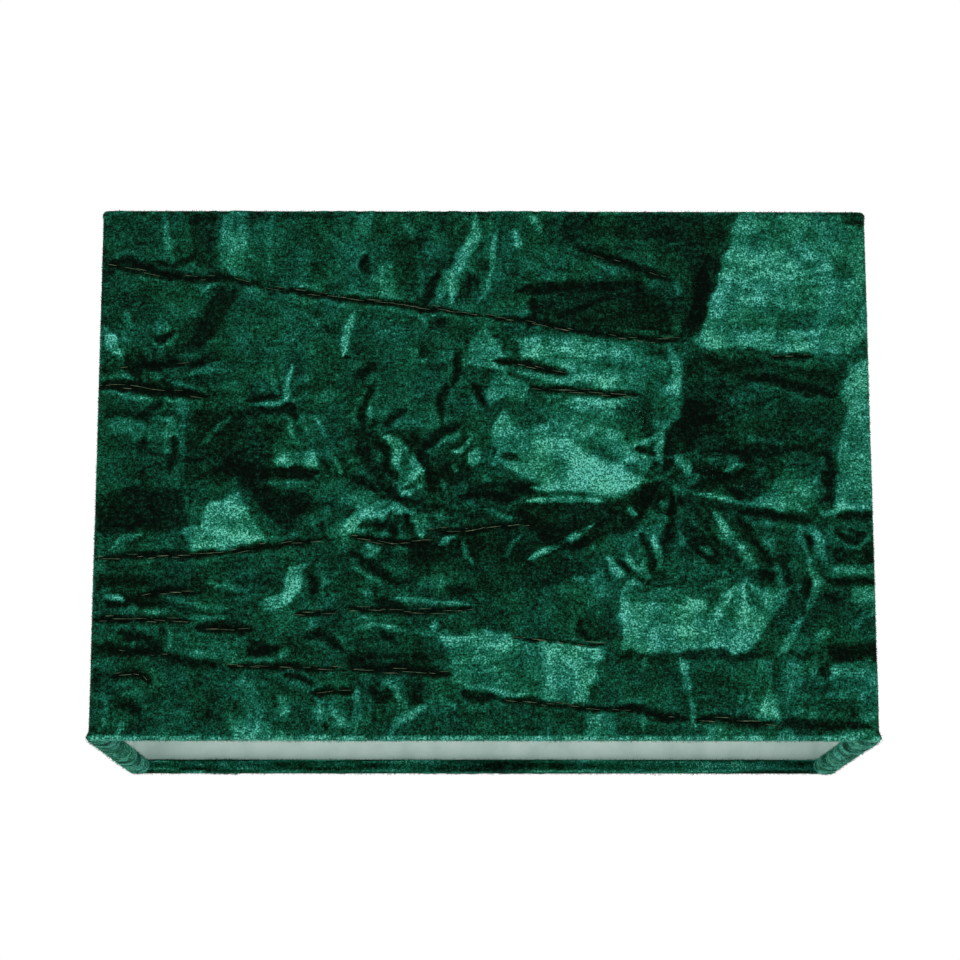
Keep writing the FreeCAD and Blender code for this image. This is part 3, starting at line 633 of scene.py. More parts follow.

# %% [markdown]
# ### Turning marks into painted sheen and shade, and relief
#
# A field is measured by how far a point is inside its outline, a ridge or crease by how far it is
# from its line. Each is faded in over a short distance, after the points have been shifted a little
# by soft noise, because a fold in cloth is never ruled. The same marks also raise and sink the cloth
# by a few tenths of a millimetre, so that the folds are real shape.

# %% Combed areas and gathers of the front panel
COMBED = [
    # (strength, direction in degrees, middle across and up in mm, half width and half height in mm)
    (1.0, 2, (-100, 44), (56, 30)),
    (0.9, 20, (-62, 104), (50, 20)),
    (0.8, -8, (10, 88), (60, 15)),
    (0.7, -4, (36, 148), (40, 18)),
    (0.8, 3, (-130, 140), (24, 16)),
    (0.8, 74, (-12, 188), (40, 24)),
    (0.5, 4, (118, 174), (36, 34)),
    (0.6, -12, (60, 192), (40, 20)),
    (0.8, 84, (118, 22), (36, 26)),
    (0.8, 86, (-70, 10), (60, 14)),
    (0.7, 10, (14, 30), (36, 16)),
    (0.6, 100, (-100, 196), (40, 14)),
]
GATHERS = [
    # (strength, place where the folds run together, and how far they reach, in mm)
    (1.3, (69, 101), 46),
    (1.1, (-34, 92), 40),
    (0.9, (-120, 141), 26),
    (0.8, (-78, 130), 24),
    (0.8, (96, 64), 28),
]
print(len(COMBED), "combed areas and", len(GATHERS), "gathers on the front panel")

# %% Soft noise and distances
def ripple(points, size, seed):
    """Smooth random values from -1 to 1, in lumps of about this size."""
    if not len(points):
        return np.zeros(0)
    cells = points / size
    low = np.floor(cells.min(axis=0)).astype(int)
    span = np.floor(cells.max(axis=0)).astype(int) - low + 2
    lattice = np.random.default_rng(seed).uniform(-1, 1, span)
    corner = np.floor(cells).astype(int) - low
    part = cells - np.floor(cells)
    ease = part * part * (3 - 2 * part)
    i, j = corner.T
    s, t = ease.T
    lower = lattice[i, j] * (1 - s) + lattice[i + 1, j] * s
    upper = lattice[i, j + 1] * (1 - s) + lattice[i + 1, j + 1] * s
    return lower * (1 - t) + upper * t


def from_line(points, line):
    """The distance of each point from a bent line, and how far along it that is, from 0 to 1."""
    near, at = np.full(len(points), np.inf), np.zeros(len(points))
    marks = lengths_along(line)
    for a, b, start, stop in zip(line, line[1:], marks, marks[1:]):
        step = b - a
        t = np.clip((points - a) @ step / (step @ step), 0, 1)
        gap = np.linalg.norm(points - a - t[:, None] * step, axis=1)
        at = np.where(gap < near, (start + t * (stop - start)) / marks[-1], at)
        near = np.minimum(near, gap)
    return near, at


def inside(points, corners):
    """How far each point is inside an outline. It is negative outside."""
    closed = np.vstack([corners, corners[:1]])
    near, _ = from_line(points, closed)
    within = np.zeros(len(points), bool)
    for (ax, ay), (bx, by) in zip(closed, closed[1:]):
        if ay != by:
            crossing = (ay > points[:, 1]) != (by > points[:, 1])
            within ^= crossing & (points[:, 0] < ax + (points[:, 1] - ay) * (bx - ax) / (by - ay))
    return np.where(within, near, -near)


print("noise check", np.round(ripple(np.array([[0.0, 0.0], [3.0, 4.0]]), 5, 1), 3))

# %% Random marks for the other panels
MARK_AREA = 640
COMB_AREA = 3200
GATHER_IN = 30
LONG_CREASE = 30
OUTLINE_CORNERS = 7


def kept_between(points, left, right):
    """The same points, with none past either place along the strip."""
    return np.clip(points, (left, -HEIGHT / MM), (right, 2 * HEIGHT / MM))


def leaning_line(rng, middle, length, angle):
    """Three points of a slightly bent line."""
    direction = np.array([math.cos(angle), math.sin(angle)])
    sideways = np.array([-direction[1], direction[0]]) * rng.uniform(-0.12, 0.12) * length
    return [middle - direction * length / 2, middle + sideways, middle + direction * length / 2]


def random_marks(rng, left, right):
    """Fields, ridges, creases, combed areas and gathers between two places along the strip, in mm."""
    fields, ridges, creases, combed, gathers = [], [], [], [], []
    area = (right - left) * HEIGHT / MM

    def anywhere():
        return np.array([rng.uniform(left, right), rng.uniform(0, HEIGHT / MM)])

    for _ in range(round(area / COMB_AREA)):
        middle = rng.uniform((left, 0), (right, HEIGHT / MM))
        combed.append((rng.uniform(0.5, 1.0), rng.normal(0, 30), middle, rng.uniform((20, 14), (55, 30))))
        middle = rng.uniform((left + GATHER_IN, 0), (right - GATHER_IN, HEIGHT / MM))
        gathers.append((rng.uniform(0.6, 1.2), middle, rng.uniform(20, 44)))
    for _ in range(round(area / MARK_AREA)):
        middle = anywhere()
        angle = rng.normal(0, 0.3) + rng.choice([0, math.pi / 2], p=[0.65, 0.35])
        half = np.array([rng.uniform(6, 24), rng.uniform(4, 11)])
        turn = np.array([[math.cos(angle), math.sin(angle)], [-math.sin(angle), math.cos(angle)]])
        around = np.sort(rng.uniform(0, 2 * math.pi, OUTLINE_CORNERS))
        ring = np.stack([np.cos(around), np.sin(around)], 1) * half
        ring *= rng.uniform(0.75, 1.15, (OUTLINE_CORNERS, 1))
        dark, plain, pale = rng.uniform(1.2, 2.8), rng.uniform(4.4, 5.6), rng.uniform(6.8, 8.2)
        lie = rng.choice([dark, plain, pale], p=[0.42, 0.28, 0.3])
        fields.append((lie, rng.uniform(0.8, 2.4), kept_between(middle + ring @ turn, left, right)))
        middle = anywhere()
        line = leaning_line(rng, middle, rng.uniform(6, 20), rng.uniform(0, math.pi))
        ridges.append((rng.uniform(6.4, 8.6), rng.uniform(1.1, 2.6), kept_between(line, left, right)))
        middle = anywhere()
        length = rng.choice([rng.uniform(8, 20), rng.uniform(30, 90)], p=[0.75, 0.25])
        shown = rng.uniform(0.4, 0.9) if length > LONG_CREASE else 0
        angle = rng.normal(0, 0.1) if length > LONG_CREASE else rng.normal(0, 0.5)
        line = kept_between(leaning_line(rng, middle, length, angle), left, right)
        creases.append((rng.uniform(1.5, 2.4), shown, line))
    return fields, ridges, creases, combed, gathers


draws = np.random.default_rng(41)
PANEL_EDGE = WIDTH / 2 / MM
for left, right in ((-END / MM, -PANEL_EDGE - 4), (PANEL_EDGE + 4, START / MM)):
    for known, new in zip((FIELDS, RIDGES, CREASES, COMBED, GATHERS), random_marks(draws, left, right)):
        known.extend(new)
print("with the other panels:", len(FIELDS), "fields,", len(RIDGES), "ridges,", len(CREASES), "creases")

# %% The crush over the whole strip
PALEST = 10
BASE_SHEEN_AND_SHADE = 4.0
DEEPEST, HIGHEST = -0.8, 0.75
FIELD_LIFT = 0.05
FIELD_EDGE = 0.7
RIDGE_LIFT = 0.32
CREASE_SINK = 0.62
LIP_LIFT = 0.26
SOFT_CREASE = 0.6
# the hems' tones are painted light: a painted highlight on the front and side hems, whose undersides face the
# light, and painted shade inside the back hem
RIM_SHEEN_AND_SHADE = {"front": 9.3, "side": 8.2, "back": 5.2, "top": 4.2}


def close_by(points, line, reach):
    """Which points lie in the box round a mark."""
    low, high = np.min(line, axis=0) - reach, np.max(line, axis=0) + reach
    return np.flatnonzero(((points > low) & (points < high)).all(axis=1))


def rim_share(height_mm):
    """1 on the foot and the roll of a hem, 0 on the wall."""
    from_end = np.minimum(height_mm, HEIGHT / MM - height_mm)
    return 1 - smooth(0.6, 1.7, from_end)


def rim_sheen_and_shade(across_mm, up_mm):
    """The painted light along the hems: a painted highlight on the front foot and the side hems, painted
    shade inside the back one, plain at the top.
    """
    side = smooth(PANEL_EDGE - 6, PANEL_EDGE + 4, np.abs(across_mm))
    back = smooth(BACK_AT / MM - 8, BACK_AT / MM + 4, np.abs(across_mm))
    lie = RIM_SHEEN_AND_SHADE["front"] * (1 - side) + RIM_SHEEN_AND_SHADE["side"] * side
    lie = lie * (1 - back) + RIM_SHEEN_AND_SHADE["back"] * back
    return np.where(up_mm < HEIGHT / MM / 2, lie, RIM_SHEEN_AND_SHADE["top"])


def mottling(points):
    """Blotches from -1 to 1: streaks along the strip, streaks up it, and round lumps."""
    level = ripple(points * [0.5, 1], 3.2, 22)
    upright = ripple(points * [1, 0.5], 3.4, 23)
    return 0.5 * level + 0.35 * upright + 0.45 * ripple(points, 6, 24) + 0.3 * ripple(points, 2.4, 25)


def combing(points):
    """Streaks of painted sheen and shade in the pile: straight ones in the combed areas, and fans where folds
    run together.
    """
    streaks = np.zeros(len(points))
    for strength, degrees, middle, half in COMBED:
        near = close_by(points, [np.subtract(middle, half), np.add(middle, half)], 0)
        offset = points[near] - middle
        share = 1 - smooth(0.35, 1, np.linalg.norm(offset / half, axis=1))
        turn = math.radians(degrees)
        along = offset @ [math.cos(turn), math.sin(turn)]
        aside = offset @ [-math.sin(turn), math.cos(turn)] + 1.2 * ripple(points[near], 12, 34)
        streaks[near] += strength * share * 1.5 * ripple(np.stack([along / 6, aside], 1), 2.1, 35)
    for strength, middle, reach in GATHERS:
        near = close_by(points, [middle, middle], reach)
        offset = points[near] - middle
        far = np.linalg.norm(offset, axis=1)
        share = smooth(1, 6, far) * (1 - smooth(0.4 * reach, reach, far))
        heading = np.arctan2(offset[:, 1], offset[:, 0]) + 0.012 * far
        fan = ripple(np.stack([np.cos(heading) * 13, np.sin(heading) * 13 + 0.06 * far], 1), 2.4, 36)
        streaks[near] += strength * share * 2.6 * fan
    return streaks


def small_folds(points):
    """Shallow folds between the drawn ones, painted only: painted shade where soft noise crosses zero, a
    painted highlight beside that.
    """
    bent = points + 2.5 * np.stack([ripple(points, 11, 26), ripple(points, 11, 27)], 1)
    near = np.abs(ripple(bent * [0.3, 1], 5.2, 28))
    busy = smooth(-0.2, 0.5, ripple(points, 30, 29))
    dark = 1 - smooth(0.02, 0.13, near)
    pale = smooth(0.1, 0.18, near) * (1 - smooth(0.2, 0.34, near))
    return (0.8 * pale - 1.5 * dark) * busy


def lay_fields(points, lie, relief):
    """Gives the patches between folds their painted sheen and shade, and raises the pale ones a little."""
    for value, soft, corners in FIELDS:
        near = close_by(points, corners, soft)
        share = smooth(-FIELD_EDGE * soft, FIELD_EDGE * soft, inside(points[near], np.array(corners)))
        lie[near] += (value + 0.5 * (lie[near] - BASE_SHEEN_AND_SHADE) - lie[near]) * share
        relief[near] += FIELD_LIFT * (value - BASE_SHEEN_AND_SHADE) * share


def lay_ridges(points, lie, relief, patchy):
    """Raises the narrow folds and paints the highlight they catch. They narrow towards both ends."""
    for value, width, line in RIDGES:
        near = close_by(points, line, 2 * width)
        gap, at = from_line(points[near], np.array(line))
        taper = np.sqrt(np.clip(5 * at * (1 - at), 0.05, 1))
        share = 1 - smooth(0.35, 1.05, gap / (width * taper))
        lie[near] += np.maximum(value - lie[near], 0) * share * np.sqrt(patchy[near])
        relief[near] += RIDGE_LIFT * share


def lay_creases(points, lie, relief, patchy):
    """Sinks the sharp folds and paints their light: painted shade as a black core and around it, and a raised
    lip beside that with a painted highlight.
    """
    for width, shown, line in CREASES:
        depth = SOFT_CREASE if shown == 0 else 1
        near = close_by(points, line, 3 * width)
        gap, at = from_line(points[near], np.array(line))
        taper = np.sqrt(np.clip(6 * at * (1 - at), 0.05, 1))
        beyond = gap / (width * taper)
        shade = (0.2 + 0.4 * depth) * (1 - smooth(0.25, 1.45, beyond)) * patchy[near]
        core_shade = 0.9 * depth * (1 - smooth(0.1, 0.55 / depth, beyond))
        lip_and_highlight = np.exp(-(((beyond - 1.5) / 0.55) ** 2)) * taper
        lie[near] *= (1 - np.minimum(shade, 0.85)) * (1 - core_shade)
        lie[near] += 1.1 * lip_and_highlight * patchy[near]
        relief[near] += depth * (LIP_LIFT * lip_and_highlight - CREASE_SINK * np.exp(-((beyond / 0.5) ** 2)) * taper)


def gather_rims(points, lie, relief):
    """The painted sheen and shade and the relief with the hems drawn in: puckers, tufts, and long strands on
    the back hem.
    """
    far = np.abs(points[:, 0])
    share = rim_share(points[:, 1])
    puckers = ripple(points * [1, 0.3], 2.6, 20)
    strands = ripple(points * [0.07, 1], 1.3, 33)
    behind = smooth(BACK_AT / MM - 8, BACK_AT / MM + 4, far)
    beside = smooth(PANEL_EDGE - 4, PANEL_EDGE + 4, far) * (1 - behind)
    clumps = 2.2 * puckers + 1.6 * ripple(points * [0.6, 1], 1.7, 30)
    tufts = clumps * (1 + 1.2 * beside - 0.7 * behind) + (1 + 3.4 * behind) * strands
    lie = lie + (rim_sheen_and_shade(*points.T) + tufts - lie) * share
    relief = relief * (1 - share) + (0.2 * puckers + 0.22 * ripple(points, 19, 21)) * share
    # next to a rim the tucked-in end lies right behind the wall: the wall can't sink and the end is flat
    from_rim = np.minimum(points[:, 1], HEIGHT / MM - points[:, 1])
    relief = np.maximum(relief, DEEPEST * smooth(6.5, 10, from_rim)) * smooth(-13, -9, from_rim)
    return lie, relief


def crush(points):
    """The painted sheen and shade (0 to 10) and the relief (mm) at points across and up, in mm."""
    wander = np.stack([ripple(points, 8, 11), ripple(points, 8, 12)], 1) * 1.3
    wander += np.stack([ripple(points, 2.8, 13), ripple(points, 2.8, 14)], 1) * 0.95
    moved, held = points + wander, points + 0.5 * wander
    blotches = mottling(points)
    patchy = np.clip(0.95 + 0.95 * blotches, 0.1, 1.35)
    lie = BASE_SHEEN_AND_SHADE + 0.7 * ripple(points, 17, 15) + 0.6 * ripple(points * [0.45, 1], 4.5, 16)
    relief = 0.26 * ripple(points, 21, 17) + 0.14 * ripple(points, 7, 18) + 0.09 * ripple(points, 3, 19)
    lay_fields(moved, lie, relief)
    streaks = combing(moved)
    lie += (blotches + 0.8 * streaks) * np.clip(0.5 + 0.2 * lie, 0, 2.2) + small_folds(points)
    relief += 0.1 * streaks
    lay_ridges(held, lie, relief, patchy)
    lay_creases(held, lie, relief, patchy)
    from_bend = np.abs(np.abs(points[:, 0]) - (HALF_RUN + BEND / 2) / MM)
    relief *= 0.25 + 0.75 * smooth(2, 9, from_bend)
    lie, relief = gather_rims(points, lie, relief)
    return np.clip(lie, 0.1, PALEST), np.clip(relief, DEEPEST, HIGHEST)


# %% From the flat cloth to the shade
CORNER_POWER = 4.5
HEM_PUFF = 0.35 * MM
SIDE_PUFF = 1.4 * MM
UPRIGHT_PUFF = 0.4
STAND_IN_HEM = 0.3 * MM
SLOPE_STEP = 0.1 * MM


def seam_rise(across):
    """How far the cloth stands off the outline where it climbs over its own starting end."""
    far = -across
    ramp = smooth(FOLD + FOLD_R - SEAM_W - SEAM_RAMP, FOLD + FOLD_R - SEAM_W, far) * SEAM_RISE
    turned_back = np.clip(far - FOLD, 0, math.pi * FOLD_R) / FOLD_R
    return ramp - FOLD_R * (1 - np.cos(turned_back))


def folded(across):
    """The place along the outline, which runs backwards where the cloth is folded under."""
    far = -across
    turned_back = np.clip(far - FOLD, 0, math.pi * FOLD_R) / FOLD_R
    under = np.maximum(far - FOLD - math.pi * FOLD_R, 0)
    there = np.minimum(far, FOLD) + FOLD_R * np.sin(turned_back) - under
    return np.where(far > FOLD, -there, across)


def corner_reach(outward):
    """How much further the cloth reaches at a corner than a round bend of the same size."""
    squared = (np.abs(outward) ** CORNER_POWER).sum(axis=1)
    return squared ** (-1 / CORNER_POWER) - 1


def hem_puff(across, up):
    """How far the rolled hems swell, most at the foot of the short sides, where the cloth is gathered."""
    from_end, far = np.minimum(up, HEIGHT - up), np.abs(across)
    side = smooth(HALF_RUN, HALF_RUN + BEND, far) - smooth(BACK_AT - BEND, BACK_AT, far)
    side *= up < HEIGHT / 2
    return (HEM_PUFF + (SIDE_PUFF - HEM_PUFF) * side) * (1 - smooth(0.5 * MM, 4 * MM, from_end))


def round_the_shade(across, up, lift):
    """Points on the shade's skin from places on the flat cloth, raised by lift along its normal."""
    place, outward = way_round(folded(across))
    depth, height = section(up)
    d0, h0 = section(up - SLOPE_STEP)
    d1, h1 = section(up + SLOPE_STEP)
    slope = np.hypot(d1 - d0, h1 - h0)
    out_share, up_share = (h1 - h0) / slope, (d1 - d0) / slope
    stand = seam_rise(across) * smooth(0, EDGE_R, np.minimum(height, HEIGHT - height))
    stand = np.where(depth > 1e-6, np.minimum(stand, STAND_IN_HEM), stand)
    side = np.where(-across > FOLD + math.pi * FOLD_R / 2, -1.0, 1.0)
    puff = hem_puff(across, up)
    out = stand - depth + (lift + puff) * out_share * side
    out += corner_reach(outward) * (CORNER_R - depth)
    flat = place + outward * out[:, None]
    return np.column_stack([flat, height + (lift + UPRIGHT_PUFF * puff) * up_share])


print("seam stands", round(SEAM_RISE / MM, 2), "mm proud")

# %% [markdown]
# ### Making the cover
#
# The folds are about as wide as a match, so the grid has to be closer than a millimetre on the front
# panel, whose folds are laid out one by one, and it can be wider elsewhere. One mesh of that would be
# too heavy, so the strip is made in three lengths that share the same rows and meet point for point
# at the two front corners. A grid primitive gives even rows and columns, so its points are first
# moved to their places on the flat cloth, then the crush is worked out there, and then the cloth
# goes round the shade. The painted sheen and shade is kept on the mesh as an attribute that the
# velvet's material reads, and the flat cloth is kept as the UV map, in metres, so that the grain is
# as fine on a rolled hem as on the wall.

# %% Rows of the flat cloth
FRONT_STEP = 0.86 * MM
OTHER_STEP = 1.6 * MM
FLAP_STEP = 0.9 * MM
ROW_STEP = 0.9 * MM
HEM_ROW_STEP = 1.05 * MM
HEM_ROWS_TO = 3 * MM


def spaced(stops, steps):
    """Places from the first stop to the last, with each stretch's own step."""
    stretches = zip(stops, stops[1:], steps)
    parts = [np.linspace(a, b, math.ceil((b - a) / step) + 1)[1:] for a, b, step in stretches]
    return np.concatenate([[stops[0]], *parts])


row_stops = [UP_LOW, HEM_ROWS_TO, HEIGHT - HEM_ROWS_TO, UP_HIGH]
rows = spaced(row_stops, [HEM_ROW_STEP, ROW_STEP, HEM_ROW_STEP])
print(len(rows), "rows")

# %% Points and attributes of a mesh
def points_of(mesh):
    """The places of a mesh's points."""
    co = np.empty(len(mesh.vertices) * 3, np.float32)
    mesh.vertices.foreach_get("co", co)
    return co.reshape(-1, 3).astype(float)


def move_points(mesh, points):
    """Puts a mesh's points at new places."""
    mesh.vertices.foreach_set("co", np.asarray(points, np.float32).ravel())
    mesh.update()


def keep_sheen_and_shade(mesh, lie):
    """Stores the painted sheen and shade on the mesh, from 0 for the darkest to 1 for the palest."""
    layer = mesh.attributes.new("lie", "FLOAT", "POINT")
    layer.data.foreach_set("value", (np.asarray(lie) / PALEST).astype(np.float32))


def keep_flat_map(mesh, flat):
    """Stores the place on the flat cloth, in metres, as the UV map."""
    layer = mesh.uv_layers[0] if mesh.uv_layers else mesh.uv_layers.new(name="flat_cloth")
    layer.name = "flat_cloth"
    corners = np.empty(len(mesh.loops), np.int32)
    mesh.loops.foreach_get("vertex_index", corners)
    layer.data.foreach_set("uv", flat[corners].astype(np.float32).ravel())


print("a mesh carries the lie and the flat map")

# %% Cut, crush and wrap
def length_of_cloth(name, columns):
    """A length of the strip, from its first column to its last, crushed and wrapped round the shade."""
    bpy.ops.object.select_all(action="DESELECT")
    bpy.ops.mesh.primitive_grid_add(x_subdivisions=len(columns) - 1, y_subdivisions=len(rows) - 1, size=1)
    piece = bpy.context.object
    piece.name = name
    even = points_of(piece.data)[:, :2] + 0.5
    column_of = np.rint(even[:, 0] * (len(columns) - 1)).astype(int)
    row_of = np.rint(even[:, 1] * (len(rows) - 1)).astype(int)
    flat_cloth = np.stack([columns[column_of], rows[row_of]], 1)
    lie, relief = crush(flat_cloth / MM)
    keep_sheen_and_shade(piece.data, lie)
    keep_flat_map(piece.data, flat_cloth)
    move_points(piece.data, round_the_shade(flat_cloth[:, 0], flat_cloth[:, 1], relief * MM))
    bpy.ops.object.shade_smooth()
    print(name, len(columns), "columns, lie", np.round(np.percentile(lie, [5, 50, 95]), 1))
    return piece


FRONT_END = HALF_RUN + BEND
LENGTHS = {
    "crushed_velvet_front": spaced([-FRONT_END, FRONT_END], [FRONT_STEP]),
    "crushed_velvet_right": spaced([FRONT_END, START], [OTHER_STEP]),
    "crushed_velvet_left": spaced([-END, -FOLD, -FRONT_END], [FLAP_STEP, OTHER_STEP]),
}
cloths = [length_of_cloth(name, columns) for name, columns in LENGTHS.items()]

# %% [markdown]
# ### Crushed velvet as a material
#
# Polyester velvet: a knitted back and a cut pile under a millimetre long. The fibres are smooth, so
# the way the pile lies changes how pale it looks far more than its shape does, and that sheen and
# shade is painted: the material turns the stored painted sheen and shade into a colour between two
# greens and a cold mint, breaks it up with grain of about a fibre bundle's size, and adds a soft
# sheen that brightens the cloth where it turns away.

# %% Velvet material
# tones for the painted sheen and shade, from the darkest painted shade to the palest painted sheen
VELVET_TONES = [
    (0.00, "#020603"),
    (0.13, "#030F08"),
    (0.25, "#061F13"),
    (0.38, "#0A3424"),
    (0.49, "#104635"),
    (0.60, "#165744"),
    (0.71, "#236B58"),
    (0.79, "#327C6A"),
    (0.86, "#408F7C"),
    (1.00, "#63B7A4"),
]
TONE_SPAN = 0.845
BUNDLE = 0.68 * MM
TUFT = 1.7 * MM
MOTTLE = 4.5 * MM
HUE_DRIFT = 14 * MM
COMB_DRAWN = 0.45
ROUND_GRAIN, COMBED_GRAIN = 1.4, 0.7
GRAIN_OF_DARK, GRAIN_OF_SHEEN_AND_SHADE = 0.52, 0.8
TUFT_GRAIN, MOTTLE_GRAIN = 0.85, 0.35


def velvet():
    """Crushed velvet: the stored painted sheen and shade picks the tone, and grain of three sizes breaks it
    up.
    """
    made, tree = new_material("crushed_polyester_velvet")
    flat = add_node(tree, "ShaderNodeUVMap", {"uv_map": "flat_cloth"})
    lie = add_node(tree, "ShaderNodeAttribute", {"attribute_name": "lie"}).outputs["Fac"]
    bundles, tufts, mottle, drift = (
        add_node(tree, "ShaderNodeTexNoise", Vector=flat, Scale=1 / size, Detail=detail)
        for size, detail in ((BUNDLE, 2), (TUFT, 3), (MOTTLE, 2), (HUE_DRIFT, 2))
    )
    drawn = [
        add_node(tree, "ShaderNodeMapping", Vector=flat, Scale=scale)
        for scale in ((COMB_DRAWN, 1, 1), (1, COMB_DRAWN, 1))
    ]
    level, upright = (
        add_node(tree, "ShaderNodeTexNoise", Vector=where, Scale=1 / BUNDLE, Detail=2) for where in drawn
    )
    which_way = add_node(tree, "ShaderNodeMapRange", Value=mottle, From_Min=0.42, From_Max=0.58)
    combed = add_node(tree, "ShaderNodeMix", Factor=which_way, A=level, B=upright)
    plus = {"operation": "MULTIPLY_ADD"}
    centred = -(ROUND_GRAIN + COMBED_GRAIN) / 2
    fine = add_node(tree, "ShaderNodeMath", plus, _0=bundles, _1=ROUND_GRAIN, _2=centred)
    fine = add_node(tree, "ShaderNodeMath", plus, _0=combed, _1=COMBED_GRAIN, _2=fine)
    amount = add_node(tree, "ShaderNodeMath", plus, _0=lie, _1=GRAIN_OF_SHEEN_AND_SHADE, _2=GRAIN_OF_DARK)
    shown = add_node(tree, "ShaderNodeMath", plus, _0=fine, _1=amount, _2=lie)
    for grain, share in ((tufts, TUFT_GRAIN), (mottle, MOTTLE_GRAIN)):
        shown = add_node(tree, "ShaderNodeMath", plus, _0=grain, _1=share, _2=shown)
    centred = -TONE_SPAN * (TUFT_GRAIN + MOTTLE_GRAIN) / 2
    shown = add_node(tree, "ShaderNodeMath", plus, _0=shown, _1=TONE_SPAN, _2=centred)
    tone = add_node(tree, "ShaderNodeValToRGB", {"stops": VELVET_TONES}, Fac=shown)
    hue = add_node(
        tree, "ShaderNodeMapRange", Value=drift, From_Min=0.35, From_Max=0.65, To_Min=0.486, To_Max=0.508
    )
    dyed = add_node(tree, "ShaderNodeHueSaturation", Hue=hue, Saturation=1.02, Color=tone)
    bumps = add_node(tree, "ShaderNodeMath", plus, _0=bundles, _1=0.6, _2=tufts)
    bump = add_node(tree, "ShaderNodeBump", Height=bumps, Strength=0.7, Distance=0.6 * MM)
    shader = add_node(
        tree,
        "ShaderNodeBsdfPrincipled",
        Base_Color=dyed,
        Normal=bump,
        Roughness=0.8,
        Specular_IOR_Level=0.02,
        Sheen_Weight=0.03,
        Sheen_Roughness=0.4,
        Sheen_Tint=srgb("#3FB094"),
    )
    add_node(tree, "ShaderNodeOutputMaterial", Surface=shader)
    return made


VELVET = velvet()
for cloth in cloths:
    cloth.data.materials.append(VELVET)
    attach(cloth, "shade")
    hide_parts("velvet_cover")
print("velvet grain", BUNDLE / MM, "mm, tufts", TUFT / MM, "mm")

# %% [markdown]
# ### Threads in the creases and loose pile
#
# Two small things make crushed velvet read as velvet. Where a crease is pulled hard the pile parts,
# and the knitted back shows as short pale stitches. And everywhere single fibres stand up, most of
# all along the rims and corners, where they stand out against the light. Particle hair is lost in
# an export, so both are real geometry: one stitch and one fibre are modelled, and their copies are
# placed by the same functions that placed the cloth.

# %% One stitch and one fibre
STITCH_SIDES = 5
FIBRE_SIDES = 3
HAIR = 0.01 * MM


def select_only(*pieces):
    """Selects these pieces and nothing else. The first is the active one."""
    bpy.ops.object.select_all(action="DESELECT")
    for piece in reversed(pieces):
        piece.select_set(True)
        bpy.context.view_layer.objects.active = piece


def just_added(name):
    """The piece that was just added, named, with its place and size moved into its mesh."""
    piece = bpy.context.object
    piece.name = name
    bpy.ops.object.transform_apply()
    return piece


def pick(piece, kind, test):
    """Goes into edit mode and selects the faces or edges whose middle passes a test."""
    bpy.ops.object.mode_set(mode="EDIT")
    bpy.ops.mesh.select_mode(type=kind)
    bpy.ops.mesh.select_all(action="DESELECT")
    bpy.ops.object.mode_set(mode="OBJECT")
    corners = piece.data.vertices
    for item in piece.data.polygons if kind == "FACE" else piece.data.edges:
        middle = sum((corners[i].co for i in item.vertices), Vector()) / len(item.vertices)
        item.select = bool(test(middle))
    bpy.ops.object.mode_set(mode="EDIT")


def recalculate_outside(piece):
    """Turns every face of a closed piece outwards."""
    pick(piece, "FACE", lambda middle: True)
    bpy.ops.mesh.normals_make_consistent(inside=False)
    bpy.ops.object.mode_set(mode="OBJECT")


def spindle(name, sides, rings):
    """A pointed spindle, one unit long on +X, through (place, radius) rings."""
    select_only()
    here, radius = rings[0]
    bpy.ops.mesh.primitive_cone_add(
        vertices=sides,
        radius1=0,
        radius2=radius,
        depth=here,
        end_fill_type="NOTHING",
        location=(here / 2, 0, 0),
        rotation=(0, math.pi / 2, 0),
    )
    piece = just_added(name)
    pick(piece, "EDGE", lambda middle: middle.x > here * 0.99)
    for there, wide in rings[1:]:
        bpy.ops.mesh.extrude_region_move(TRANSFORM_OT_translate={"value": (there - here, 0, 0)})
        bpy.ops.transform.resize(value=(1, wide / radius, wide / radius), center_override=(there, 0, 0))
        here, radius = there, wide
    bpy.ops.mesh.extrude_region_move(TRANSFORM_OT_translate={"value": (1 - here, 0, 0)})
    bpy.ops.mesh.merge(type="COLLAPSE")
    recalculate_outside(piece)
    return piece


def taken_shape(piece):
    """The points and triangles of a model, which is then put away."""
    piece.data.calc_loop_triangles()
    shape = points_of(piece.data), np.array([list(t.vertices) for t in piece.data.loop_triangles])
    bpy.data.objects.remove(piece)
    return shape


STITCH = taken_shape(spindle("stitch", STITCH_SIDES, [(0.16, 0.75), (0.5, 1.0), (0.84, 0.75)]))
FIBRE = taken_shape(spindle("fibre", FIBRE_SIDES, [(0.3, 1.0)]))
print("stitch", len(STITCH[1]), "triangles, fibre", len(FIBRE[1]), "triangles")

